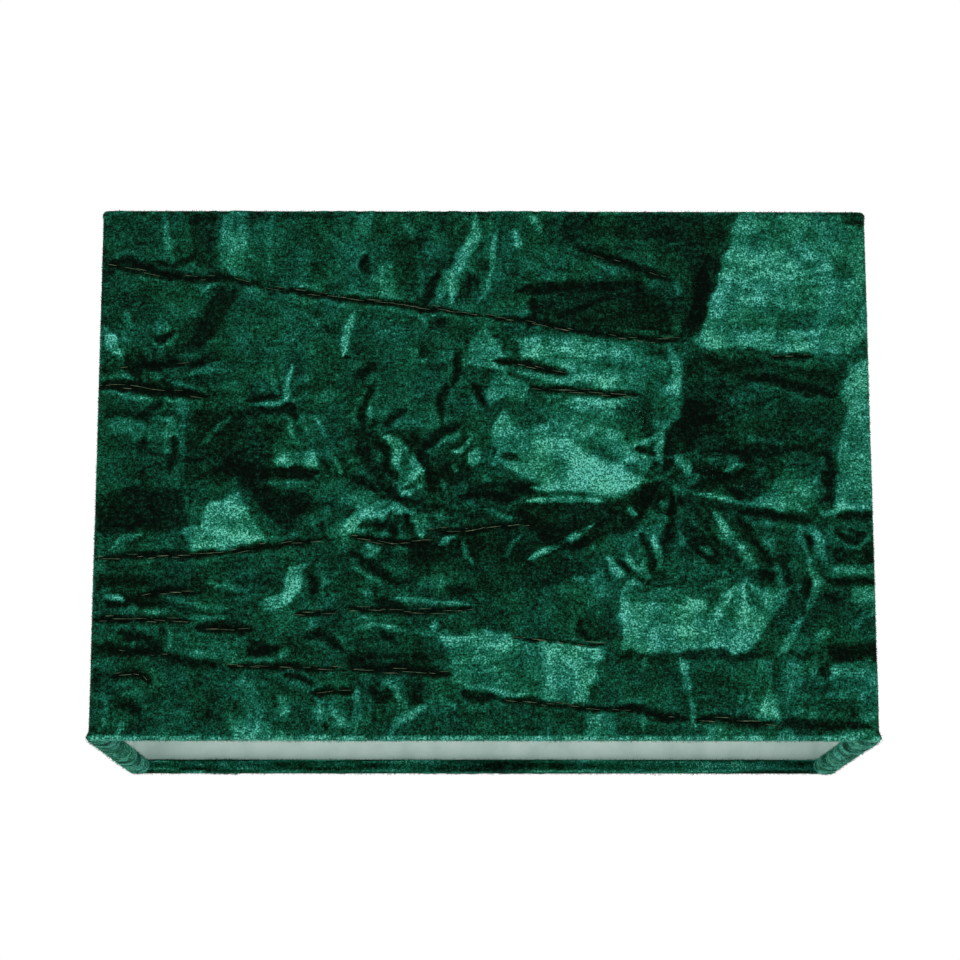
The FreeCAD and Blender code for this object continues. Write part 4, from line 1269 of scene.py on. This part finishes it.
# %% Copies of a small shape
def copies(name, shape, starts, ends, radii, flat_starts, flat_ends):
    """One piece with a copy of the shape from each start to each end."""
    points, faces = shape
    along = ends - starts
    reach = np.linalg.norm(along, axis=1, keepdims=True)
    aside = np.cross(along, np.random.default_rng(7).normal(size=along.shape))
    aside /= np.linalg.norm(aside, axis=1, keepdims=True)
    third = np.cross(along / reach, aside)
    wide = radii[:, None, None]
    placed = starts[:, None] + points[None, :, :1] * along[:, None]
    placed = placed + wide * (points[None, :, 1:2] * aside[:, None] + points[None, :, 2:] * third[:, None])
    flat = flat_starts[:, None] + points[None, :, :1] * (flat_ends - flat_starts)[:, None]
    numbered = faces[None] + np.arange(len(starts))[:, None, None] * len(points)
    mesh = bpy.data.meshes.new(name)
    mesh.from_pydata(placed.reshape(-1, 3).tolist(), [], numbered.reshape(-1, 3).tolist())
    mesh.polygons.foreach_set("use_smooth", np.ones(len(mesh.polygons), bool))
    keep_flat_map(mesh, flat.reshape(-1, 2))
    piece = bpy.data.objects.new(name, mesh)
    bpy.context.collection.objects.link(piece)
    return piece


print("copies follow the flat cloth")

# %% Stitches of the knitted back
STITCH_PITCH = 4.0
STITCH_LONG = (2.4, 7.5)
STITCH_R = (0.06, 0.11)
STITCH_LIFT = 0.5


def stitch_places(rng):
    """Starts and ends, in mm on the flat cloth, of the stitches that show in the creases."""
    starts, ends = [], []
    for _, shown, line in CREASES:
        line = np.array(line, float)
        marks = lengths_along(line)
        for at in np.arange(2.0, marks[-1] - 2.0, STITCH_PITCH):
            if rng.random() > shown:
                continue
            middle = at + rng.uniform(-0.8, 0.8)
            half = rng.uniform(*STITCH_LONG) / 2
            both = [[np.interp(m, marks, line[:, k]) for k in (0, 1)] for m in (middle - half, middle + half)]
            aside = rng.choice([0, 0.9, -0.9], p=[0.6, 0.2, 0.2]) + rng.normal(0, 0.2)
            starts.append([both[0][0], both[0][1] + aside])
            ends.append([both[1][0], both[1][1] + aside + rng.normal(0, 0.15)])
    return np.array(starts), np.array(ends)


def on_crushed_cloth(flat_mm, lift_mm):
    """Points at a height above the crushed cloth, and the painted sheen and shade and the relief there."""
    lie, relief = crush(flat_mm)
    return round_the_shade(*(flat_mm * MM).T, (relief + lift_mm) * MM), lie, relief


stitch_rng = np.random.default_rng(12)
flat_starts, flat_ends = stitch_places(stitch_rng)
starts, ends = (on_crushed_cloth(flat, STITCH_LIFT)[0] for flat in (flat_starts, flat_ends))
radii = stitch_rng.uniform(*STITCH_R, len(starts)) * MM
backing = copies("backing_stitches", STITCH, starts, ends, radii, flat_starts * MM, flat_ends * MM)
print(len(starts), "stitches show,", len(backing.data.polygons), "triangles")


def knitting_yarn():
    """Spun polyester yarn: pale khaki, hairy, with no shine."""
    made, tree = new_material("spun_polyester_backing")
    flat = add_node(tree, "ShaderNodeUVMap", {"uv_map": "flat_cloth"})
    patch = add_node(tree, "ShaderNodeTexNoise", Vector=flat, Scale=1 / YARN_PATCH, Detail=3)
    twist = add_node(tree, "ShaderNodeTexNoise", Vector=flat, Scale=1 / YARN_TWIST, Detail=1)
    tone = add_node(tree, "ShaderNodeValToRGB", {"stops": YARN_TONES}, Fac=patch)
    bump = add_node(tree, "ShaderNodeBump", Height=twist, Distance=0.08 * MM)
    shader = add_node(
        tree,
        "ShaderNodeBsdfPrincipled",
        Base_Color=tone,
        Normal=bump,
        Roughness=0.9,
        Specular_IOR_Level=0.1,
    )
    add_node(tree, "ShaderNodeOutputMaterial", Surface=shader)
    return made


YARN_PATCH = 3.0 * MM
YARN_TWIST = 0.3 * MM
YARN_TONES = [(0.25, "#1D3428"), (0.5, "#4C6049"), (0.75, "#84896C")]
backing.data.materials.append(knitting_yarn())
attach(backing, "shade")

# %% Loose pile
RIM_BAND = 3.4
ROOT_SINK = 0.1
FIBRE_R = (0.045, 0.085)
STRIP = (-END / MM, START / MM)


def pile(name, seed, bands, count, height_mm, lean_mm, extra_sheen):
    """Fibres rooted at random in bands of (left, right, low, high) on the flat cloth, in mm."""
    rng = np.random.default_rng(seed)
    sizes = np.array([(right - left) * (high - low) for left, right, low, high in bands])
    chosen = rng.choice(len(bands), count, p=sizes / sizes.sum())
    box = np.array(bands)[chosen]
    roots = np.stack([rng.uniform(box[:, 0], box[:, 1]), rng.uniform(box[:, 2], box[:, 3])], 1)
    heading = math.pi * (ripple(roots, 9, 31) + 0.35 * ripple(roots, 3, 32)) + rng.normal(0, 0.4, count)
    lean = rng.uniform(*lean_mm, count)
    tips = roots + lean[:, None] * np.stack([np.cos(heading), np.sin(heading)], 1)
    tips[:, 1] = np.clip(tips[:, 1], UP_LOW / MM, UP_HIGH / MM)
    starts, lie, relief = on_crushed_cloth(roots, -ROOT_SINK)
    ends = round_the_shade(*(tips * MM).T, (relief + rng.uniform(*height_mm, count)) * MM)
    radii = rng.uniform(*FIBRE_R, count) * MM
    piece = copies(name, FIBRE, starts, ends, radii, roots * MM, tips * MM)
    # each fibre gets a painted sheen: the painted sheen and shade of the cloth at its root, plus extra_sheen
    # and a random spread
    own_sheen_and_shade = np.clip(lie + extra_sheen + rng.normal(0, 1.1, count), 0.2, 10)
    keep_sheen_and_shade(piece.data, np.repeat(own_sheen_and_shade, len(FIBRE[0])))
    piece.data.materials.append(VELVET)
    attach(piece, "shade")
    return piece


CORNER_FROM, CORNER_TO = (HALF_RUN / MM - 2, (HALF_RUN + BEND) / MM + 2)
corner_bands = [(side * a, side * b) for a, b in ((CORNER_FROM, CORNER_TO),) for side in (-1, 1)]
far_corner = (BACK_AT - BEND) / MM - 2, BACK_AT / MM + 2
corner_bands += [(side * far_corner[0], side * far_corner[1]) for side in (-1, 1)]
upright = (RIM_BAND, HEIGHT / MM - RIM_BAND)
corner_bands = [(min(a, b), max(a, b), *upright) for a, b in corner_bands]
rim_bands = [(*STRIP, UP_LOW / MM + 3, RIM_BAND), (*STRIP, HEIGHT / MM - RIM_BAND, UP_HIGH / MM - 3)]
face = PANEL_EDGE - 2
rim_pile = pile("rim_pile", 51, rim_bands, 32000, (0.4, 0.95), (0.1, 0.7), 1.0)
corner_pile = pile("corner_pile", 52, corner_bands, 14000, (0.25, 0.65), (0.1, 0.7), 0.6)
front_pile = pile("front_pile", 53, [(-face, face, *upright)], 33000, (0.15, 0.5), (0.3, 0.9), 0.6)
other_bands = [(STRIP[0], -face, *upright), (face, STRIP[1], *upright)]
panel_pile = pile("panel_pile", 54, other_bands, 33000, (0.15, 0.5), (0.3, 0.9), 0.6)
print("pile fibres:", sum(len(p.data.polygons) for p in (rim_pile, corner_pile, front_pile, panel_pile)) // len(FIBRE[1]))

# %% [markdown]
# ## The stiff lining, its tape and the wire rings
#
# The velvet is glued to a sheet of white styrene, about half a millimetre thick, which makes the
# shade stiff and reflects the lamp. It is a flat sheet with a paper-like face. The shapes of the
# lining, tapes, rings and lugs are already right in the frame, so they only get a finish.

# %% Lining and tape finishes
PAPER_GRAIN = 0.8 * MM
SHEET_WAVE = 45 * MM
SCUFF = 9 * MM
TAPE_SCRIM = 1.5 * MM
# the lining's tones are painted: a greyer green than white styrene, for the painted shade inside the shade
# and the painted reflection of the velvet's green light
STYRENE_GREEN_SHADED_TONES = [(0.35, "#C6D9D4"), (0.5, "#D1E2DD"), (0.68, "#DAE9E5")]
TAPE_TONES = [(0.1, "#B8B29A"), (0.6, "#DAD6C4")]


def laminated_styrene():
    """Matt white styrene sheet: a paper-like face with slow waves, and darker where it was handled. Its
    grey-green tones are painted shade and a painted green reflection from the velvet.
    """
    made, tree = new_material("laminated_white_styrene")
    place = add_node(tree, "ShaderNodeTexCoord").outputs["Object"]
    marks = add_node(tree, "ShaderNodeTexNoise", Vector=place, Scale=1 / SCUFF, Detail=4)
    tone = add_node(tree, "ShaderNodeValToRGB", {"stops": STYRENE_GREEN_SHADED_TONES}, Fac=marks)
    paper = add_node(tree, "ShaderNodeTexNoise", Vector=place, Scale=1 / PAPER_GRAIN, Detail=3)
    waves = add_node(tree, "ShaderNodeTexNoise", Vector=place, Scale=1 / SHEET_WAVE, Detail=1)
    fine = add_node(tree, "ShaderNodeBump", Height=paper, Strength=0.35, Distance=0.06 * MM)
    slow = add_node(tree, "ShaderNodeBump", Height=waves, Strength=0.6, Distance=1.2 * MM, Normal=fine)
    shader = add_node(
        tree,
        "ShaderNodeBsdfPrincipled",
        Base_Color=tone,
        Normal=slow,
        Roughness=0.62,
        IOR=1.59,
        Specular_IOR_Level=0.35,
    )
    add_node(tree, "ShaderNodeOutputMaterial", Surface=shader)
    return made


def adhesive_tape():
    """Double-sided tape: a glossy adhesive film over a scrim that shows as a fine mesh."""
    made, tree = new_material("double_sided_tape")
    place = add_node(tree, "ShaderNodeTexCoord").outputs["Object"]
    scrim = add_node(tree, "ShaderNodeTexVoronoi", Vector=place, Scale=1 / TAPE_SCRIM)
    tone = add_node(tree, "ShaderNodeValToRGB", {"stops": TAPE_TONES}, Fac=scrim)
    bump = add_node(tree, "ShaderNodeBump", Height=scrim, Strength=0.4, Distance=0.05 * MM)
    shader = add_node(
        tree,
        "ShaderNodeBsdfPrincipled",
        Base_Color=tone,
        Normal=bump,
        Roughness=0.28,
        IOR=1.47,
    )
    add_node(tree, "ShaderNodeOutputMaterial", Surface=shader)
    return made


def dress(nodes, finish):
    """Gives nodes of the frame their finish."""
    for node in nodes:
        for slot in bpy.data.objects[node].material_slots:
            slot.material = finish


dress(["lining_panel"], laminated_styrene())
dress(["seam_tape", "fold_tape", "bottom_ring_tape", "top_ring_tape"], adhesive_tape())
print("lining and tapes dressed")

# %% Powder coat
PEEL = 1.1 * MM
FLECK = 0.35 * MM
DUST = 14 * MM
COAT_TONES = [(0.3, "#DAD9D2"), (0.65, "#E9E8E3")]


def powder_coat():
    """White polyester powder baked on steel: hard, half gloss, with a fine orange peel."""
    made, tree = new_material("white_powder_coat")
    place = add_node(tree, "ShaderNodeTexCoord").outputs["Object"]
    peel = add_node(tree, "ShaderNodeTexNoise", Vector=place, Scale=1 / PEEL, Detail=1)
    fleck = add_node(tree, "ShaderNodeTexNoise", Vector=place, Scale=1 / FLECK, Detail=1)
    dust = add_node(tree, "ShaderNodeTexNoise", Vector=place, Scale=1 / DUST, Detail=3)
    tone = add_node(tree, "ShaderNodeValToRGB", {"stops": COAT_TONES}, Fac=dust)
    height = add_node(tree, "ShaderNodeMath", {"operation": "MULTIPLY_ADD"}, _0=fleck, _1=0.2, _2=peel)
    bump = add_node(tree, "ShaderNodeBump", Height=height, Strength=0.5, Distance=0.06 * MM)
    gloss = add_node(tree, "ShaderNodeMapRange", Value=fleck, To_Min=0.34, To_Max=0.46)
    shader = add_node(
        tree,
        "ShaderNodeBsdfPrincipled",
        Base_Color=tone,
        Normal=bump,
        Roughness=gloss,
    )
    add_node(tree, "ShaderNodeOutputMaterial", Surface=shader)
    return made


POWDER_COAT = powder_coat()
dress(["bottom_ring", "top_ring", "pivot_lug_front", "pivot_lug_back"], POWDER_COAT)
print("rings and lugs dressed")

# %% [markdown]
# ## The fitter
#
# Inside the top hangs what fixes the shade to a lamp: a pressed steel washer, a plastic ring that
# makes its hole smaller, and two bent wires whose flattened heads turn in the lugs. Metal pressings
# are easiest to make the way the press makes them: a thin wall is drawn out and up, then given its
# thickness, and its edges are rounded, because no pressed or moulded edge is sharp.

# %% The washer
RING_SIDES = 96
EDGE_ROUND = 0.35 * MM
washer_low, washer_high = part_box("fitter_washer")
WASHER_T = 1.4 * MM
WASHER_BORE_R = 21 * MM
FLANGE_UNDER = washer_high.z - 2.2 * MM


def open_ring(name, radius, low, high):
    """A round wall with open ends, standing on the Z axis."""
    bpy.ops.object.select_all(action="DESELECT")
    bpy.ops.mesh.primitive_cylinder_add(
        vertices=RING_SIDES,
        radius=radius,
        depth=high - low,
        end_fill_type="NOTHING",
        location=(0, 0, (low + high) / 2),
    )
    piece = just_added(name)
    return piece


def draw_to(before, radius):
    """Draws the selected round edge out level from one radius to another."""
    bpy.ops.mesh.extrude_region_move()
    bpy.ops.transform.resize(value=(radius / before, radius / before, 1), center_override=(0, 0, 0))


def draw_up(rise):
    """Draws the selected edge straight up or down."""
    bpy.ops.mesh.extrude_region_move(TRANSFORM_OT_translate={"value": (0, 0, rise)})


def apply_modifier(piece, kind, **settings):
    """Adds one modifier with its settings and applies it."""
    bpy.ops.object.mode_set(mode="OBJECT")
    bpy.context.view_layer.objects.active = piece
    modifier = piece.modifiers.new(kind.lower(), kind)
    for name, value in settings.items():
        setattr(modifier, name, value)
    bpy.ops.object.modifier_apply(modifier=modifier.name)


def pressed(piece, thickness, edge):
    """Turns a drawn wall into sheet of a thickness with rounded edges."""
    recalculate_outside(piece)
    apply_modifier(piece, "SOLIDIFY", thickness=thickness, offset=0, use_even_offset=True)
    apply_modifier(piece, "BEVEL", width=edge, segments=3, limit_method="ANGLE", angle_limit=math.radians(40))
    bpy.ops.object.shade_smooth_by_angle(angle=math.radians(35))


def fit(piece, body, node, finish):
    """Puts a finished piece in the place of its node."""
    piece.data.materials.clear()
    piece.data.materials.append(finish)
    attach(piece, body)
    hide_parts(node)


collar_r = WASHER_BORE_R + WASHER_T / 2
rim_r = washer_high.x - WASHER_T / 2
flange_z = FLANGE_UNDER + WASHER_T / 2
washer = open_ring("pressed_washer", collar_r, washer_low.z, flange_z)
pick(washer, "EDGE", lambda middle: middle.z > flange_z - HAIR)
draw_to(collar_r, rim_r)
draw_up(washer_high.z - flange_z)
pressed(washer, WASHER_T, EDGE_ROUND)
fit(washer, "gimbal", "fitter_washer", POWDER_COAT)
print("washer", len(washer.data.polygons), "faces, bore", 2 * WASHER_BORE_R / MM, "mm")

# %% The reducer
REDUCER_T = 1.5 * MM
REDUCER_BORE_R = 14.5 * MM
SLEEVE_R = 20.9 * MM
RIBS = 6
RIB_W = 1.2 * MM
RIB_DROP = 1.2 * MM
reducer_low, reducer_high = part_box("reducer_ring")


def reducer_wall():
    """The drawn wall of the reducer: collar, web, sleeve and flange."""
    half = REDUCER_T / 2
    inner, outer = REDUCER_BORE_R + half, SLEEVE_R - half
    web_z, flange_z = reducer_low.z + half, reducer_high.z - half
    piece = open_ring("reducer_ring_moulding", inner, web_z, reducer_high.z)
    pick(piece, "EDGE", lambda middle: middle.z < web_z + HAIR)
    draw_to(inner, outer)
    draw_up(flange_z - web_z)
    draw_to(outer, reducer_high.x)
    pressed(piece, REDUCER_T, EDGE_ROUND)
    return piece


def reducer_rib():
    """One upright rib in the trough, a block with its top edges drawn in."""
    low_r, high_r = REDUCER_BORE_R + REDUCER_T - 0.1 * MM, SLEEVE_R - REDUCER_T + 0.1 * MM
    low_z, high_z = reducer_low.z + REDUCER_T - 0.1 * MM, reducer_high.z - RIB_DROP
    bpy.ops.object.select_all(action="DESELECT")
    middle = ((low_r + high_r) / 2, 0, (low_z + high_z) / 2)
    bpy.ops.mesh.primitive_cube_add(size=1, location=middle, scale=(high_r - low_r, RIB_W, high_z - low_z))
    rib = bpy.context.object
    bpy.ops.object.transform_apply()
    pick(rib, "FACE", lambda centre: centre.z > high_z - HAIR)
    bpy.ops.transform.resize(value=(1, 0.8, 1), center_override=(0, 0, high_z))
    apply_modifier(rib, "BEVEL", width=0.2 * MM, segments=2, limit_method="ANGLE")
    return rib


def joined(pieces):
    """One object from several, named after the first."""
    select_only(*pieces)
    bpy.ops.object.join()
    return bpy.context.object


def copy_of(piece):
    twin = piece.copy()
    twin.data = piece.data.copy()
    bpy.context.collection.objects.link(twin)
    return twin


def round_copies(piece, count):
    """The piece and its copies, evenly turned about Z, half a step on."""
    group = [piece, *(copy_of(piece) for _ in range(count - 1))]
    for k, one in enumerate(group):
        one.rotation_euler.z = 2 * math.pi * (k + 0.5) / count
    select_only(*group)
    bpy.ops.object.transform_apply()
    return group


MOULD_FLOW = 7 * MM
MOULD_SPARK = 0.4 * MM
MOULD_TONES = [(0.35, "#DEDFDA"), (0.65, "#EEEEEA")]


def moulded_polypropylene():
    """Injection-moulded white polypropylene: waxy, with flow lines and a fine spark finish."""
    made, tree = new_material("moulded_white_polypropylene")
    place = add_node(tree, "ShaderNodeTexCoord").outputs["Object"]
    flow = add_node(tree, "ShaderNodeTexNoise", Vector=place, Scale=1 / MOULD_FLOW, Detail=2)
    tone = add_node(tree, "ShaderNodeValToRGB", {"stops": MOULD_TONES}, Fac=flow)
    spark = add_node(tree, "ShaderNodeTexNoise", Vector=place, Scale=1 / MOULD_SPARK, Detail=2)
    bump = add_node(tree, "ShaderNodeBump", Height=spark, Strength=0.4, Distance=0.03 * MM)
    shader = add_node(
        tree,
        "ShaderNodeBsdfPrincipled",
        Base_Color=tone,
        Normal=bump,
        Roughness=0.36,
        IOR=1.49,
        Subsurface_Weight=0.15,
        Subsurface_Radius=(1.5 * MM, 1.4 * MM, 1.2 * MM),
        Subsurface_Scale=1.0,
    )
    add_node(tree, "ShaderNodeOutputMaterial", Surface=shader)
    return made


reducer = joined([reducer_wall(), *round_copies(reducer_rib(), RIBS)])
bpy.ops.object.shade_smooth_by_angle(angle=math.radians(35))
fit(reducer, "reducer", "reducer_ring", moulded_polypropylene())
print("reducer", len(reducer.data.polygons), "faces with", RIBS, "ribs")

# %% The two gimbal wires
WIRE_SIDES = 24
BEND_STEPS = 10
YOKE_R = 1.6 * MM
YOKE_BEND_R = 4.5 * MM
HEAD_R = 2.8 * MM
HEAD_T = 1.4 * MM
LEG_Y = 34.5 * MM
BEAD_R = 0.85 * MM
wire_low, wire_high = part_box("yoke_wire_back")
AXLE_Z = wire_high.z - HEAD_R
FOOT_Z = wire_low.z + YOKE_R


def push(y=0.0, z=0.0):
    """Extrudes the selected round edge along Y or Z."""
    bpy.ops.mesh.extrude_region_move(TRANSFORM_OT_translate={"value": (0, y, z)})


def bend_wire(centre_y, centre_z, angle):
    """Spins the selected round edge through a bend about an axis along X."""
    bpy.ops.mesh.spin(steps=BEND_STEPS, angle=angle, center=(0, centre_y, centre_z), axis=(1, 0, 0))


def gimbal_wire():
    """The back wire: head, axle, bend, leg, bend and foot."""
    bpy.ops.object.select_all(action="DESELECT")
    bpy.ops.mesh.primitive_circle_add(
        vertices=WIRE_SIDES, radius=HEAD_R, location=(0, wire_high.y, AXLE_Z), rotation=(math.pi / 2, 0, 0)
    )
    piece = bpy.context.object
    piece.name = "bent_wire_back"
    bpy.ops.object.transform_apply()
    pick(piece, "EDGE", lambda middle: True)
    push(y=-HEAD_T)
    axle = YOKE_R / HEAD_R
    bpy.ops.mesh.extrude_region_move()
    bpy.ops.transform.resize(value=(axle, 1, axle), center_override=(0, wire_high.y - HEAD_T, AXLE_Z))
    push(y=LEG_Y + YOKE_BEND_R - (wire_high.y - HEAD_T))
    bend_wire(LEG_Y + YOKE_BEND_R, AXLE_Z - YOKE_BEND_R, -math.pi / 2)
    push(z=FOOT_Z - AXLE_Z + 2 * YOKE_BEND_R)
    bend_wire(LEG_Y - YOKE_BEND_R, FOOT_Z + YOKE_BEND_R, math.pi / 2)
    push(y=wire_low.y - LEG_Y + YOKE_BEND_R)
    for end_y in (wire_high.y, wire_low.y):
        pick(piece, "EDGE", lambda middle: abs(middle.y - end_y) < HAIR)
        bpy.ops.mesh.edge_face_add()
    recalculate_outside(piece)
    apply_modifier(
        piece, "BEVEL", width=EDGE_ROUND, segments=3, limit_method="ANGLE", angle_limit=math.radians(50)
    )
    return piece


def weld_bead(side):
    """The bead of weld in the corner between the wire's foot and the washer."""
    bpy.ops.object.select_all(action="DESELECT")
    middle = (side * YOKE_R * 0.8, wire_low.y + 2.4 * MM, FOOT_Z + YOKE_R * 0.75)
    bpy.ops.mesh.primitive_uv_sphere_add(segments=14, ring_count=8, radius=BEAD_R, location=middle)
    bead = bpy.context.object
    bpy.ops.object.transform_apply()
    for y in (-1, 0, 1):
        pick(bead, "FACE", lambda centre: abs(centre.y - middle[1] - y * BEAD_R * 0.7) < 0.2 * BEAD_R)
        bpy.ops.transform.resize(value=(1.15, 1, 1.1), center_override=middle)
    pick(bead, "FACE", lambda centre: True)
    bpy.ops.transform.resize(value=(1, 2.2, 0.75), center_override=middle)
    bpy.ops.object.mode_set(mode="OBJECT")
    return bead


back_wire = joined([gimbal_wire(), weld_bead(-1), weld_bead(1)])
front_wire = copy_of(back_wire)
front_wire.name = "bent_wire_front"
front_wire.scale.y = -1
select_only(front_wire)
bpy.ops.object.transform_apply()
recalculate_outside(front_wire)
for wire, node in ((back_wire, "yoke_wire_back"), (front_wire, "yoke_wire_front")):
    select_only(wire)
    bpy.ops.object.shade_smooth_by_angle(angle=math.radians(35))
    fit(wire, "gimbal", node, POWDER_COAT)
    places = points_of(wire.data) / MM
    print(wire.name, "from", places.min(axis=0).round(1), "to", places.max(axis=0).round(1), "mm")
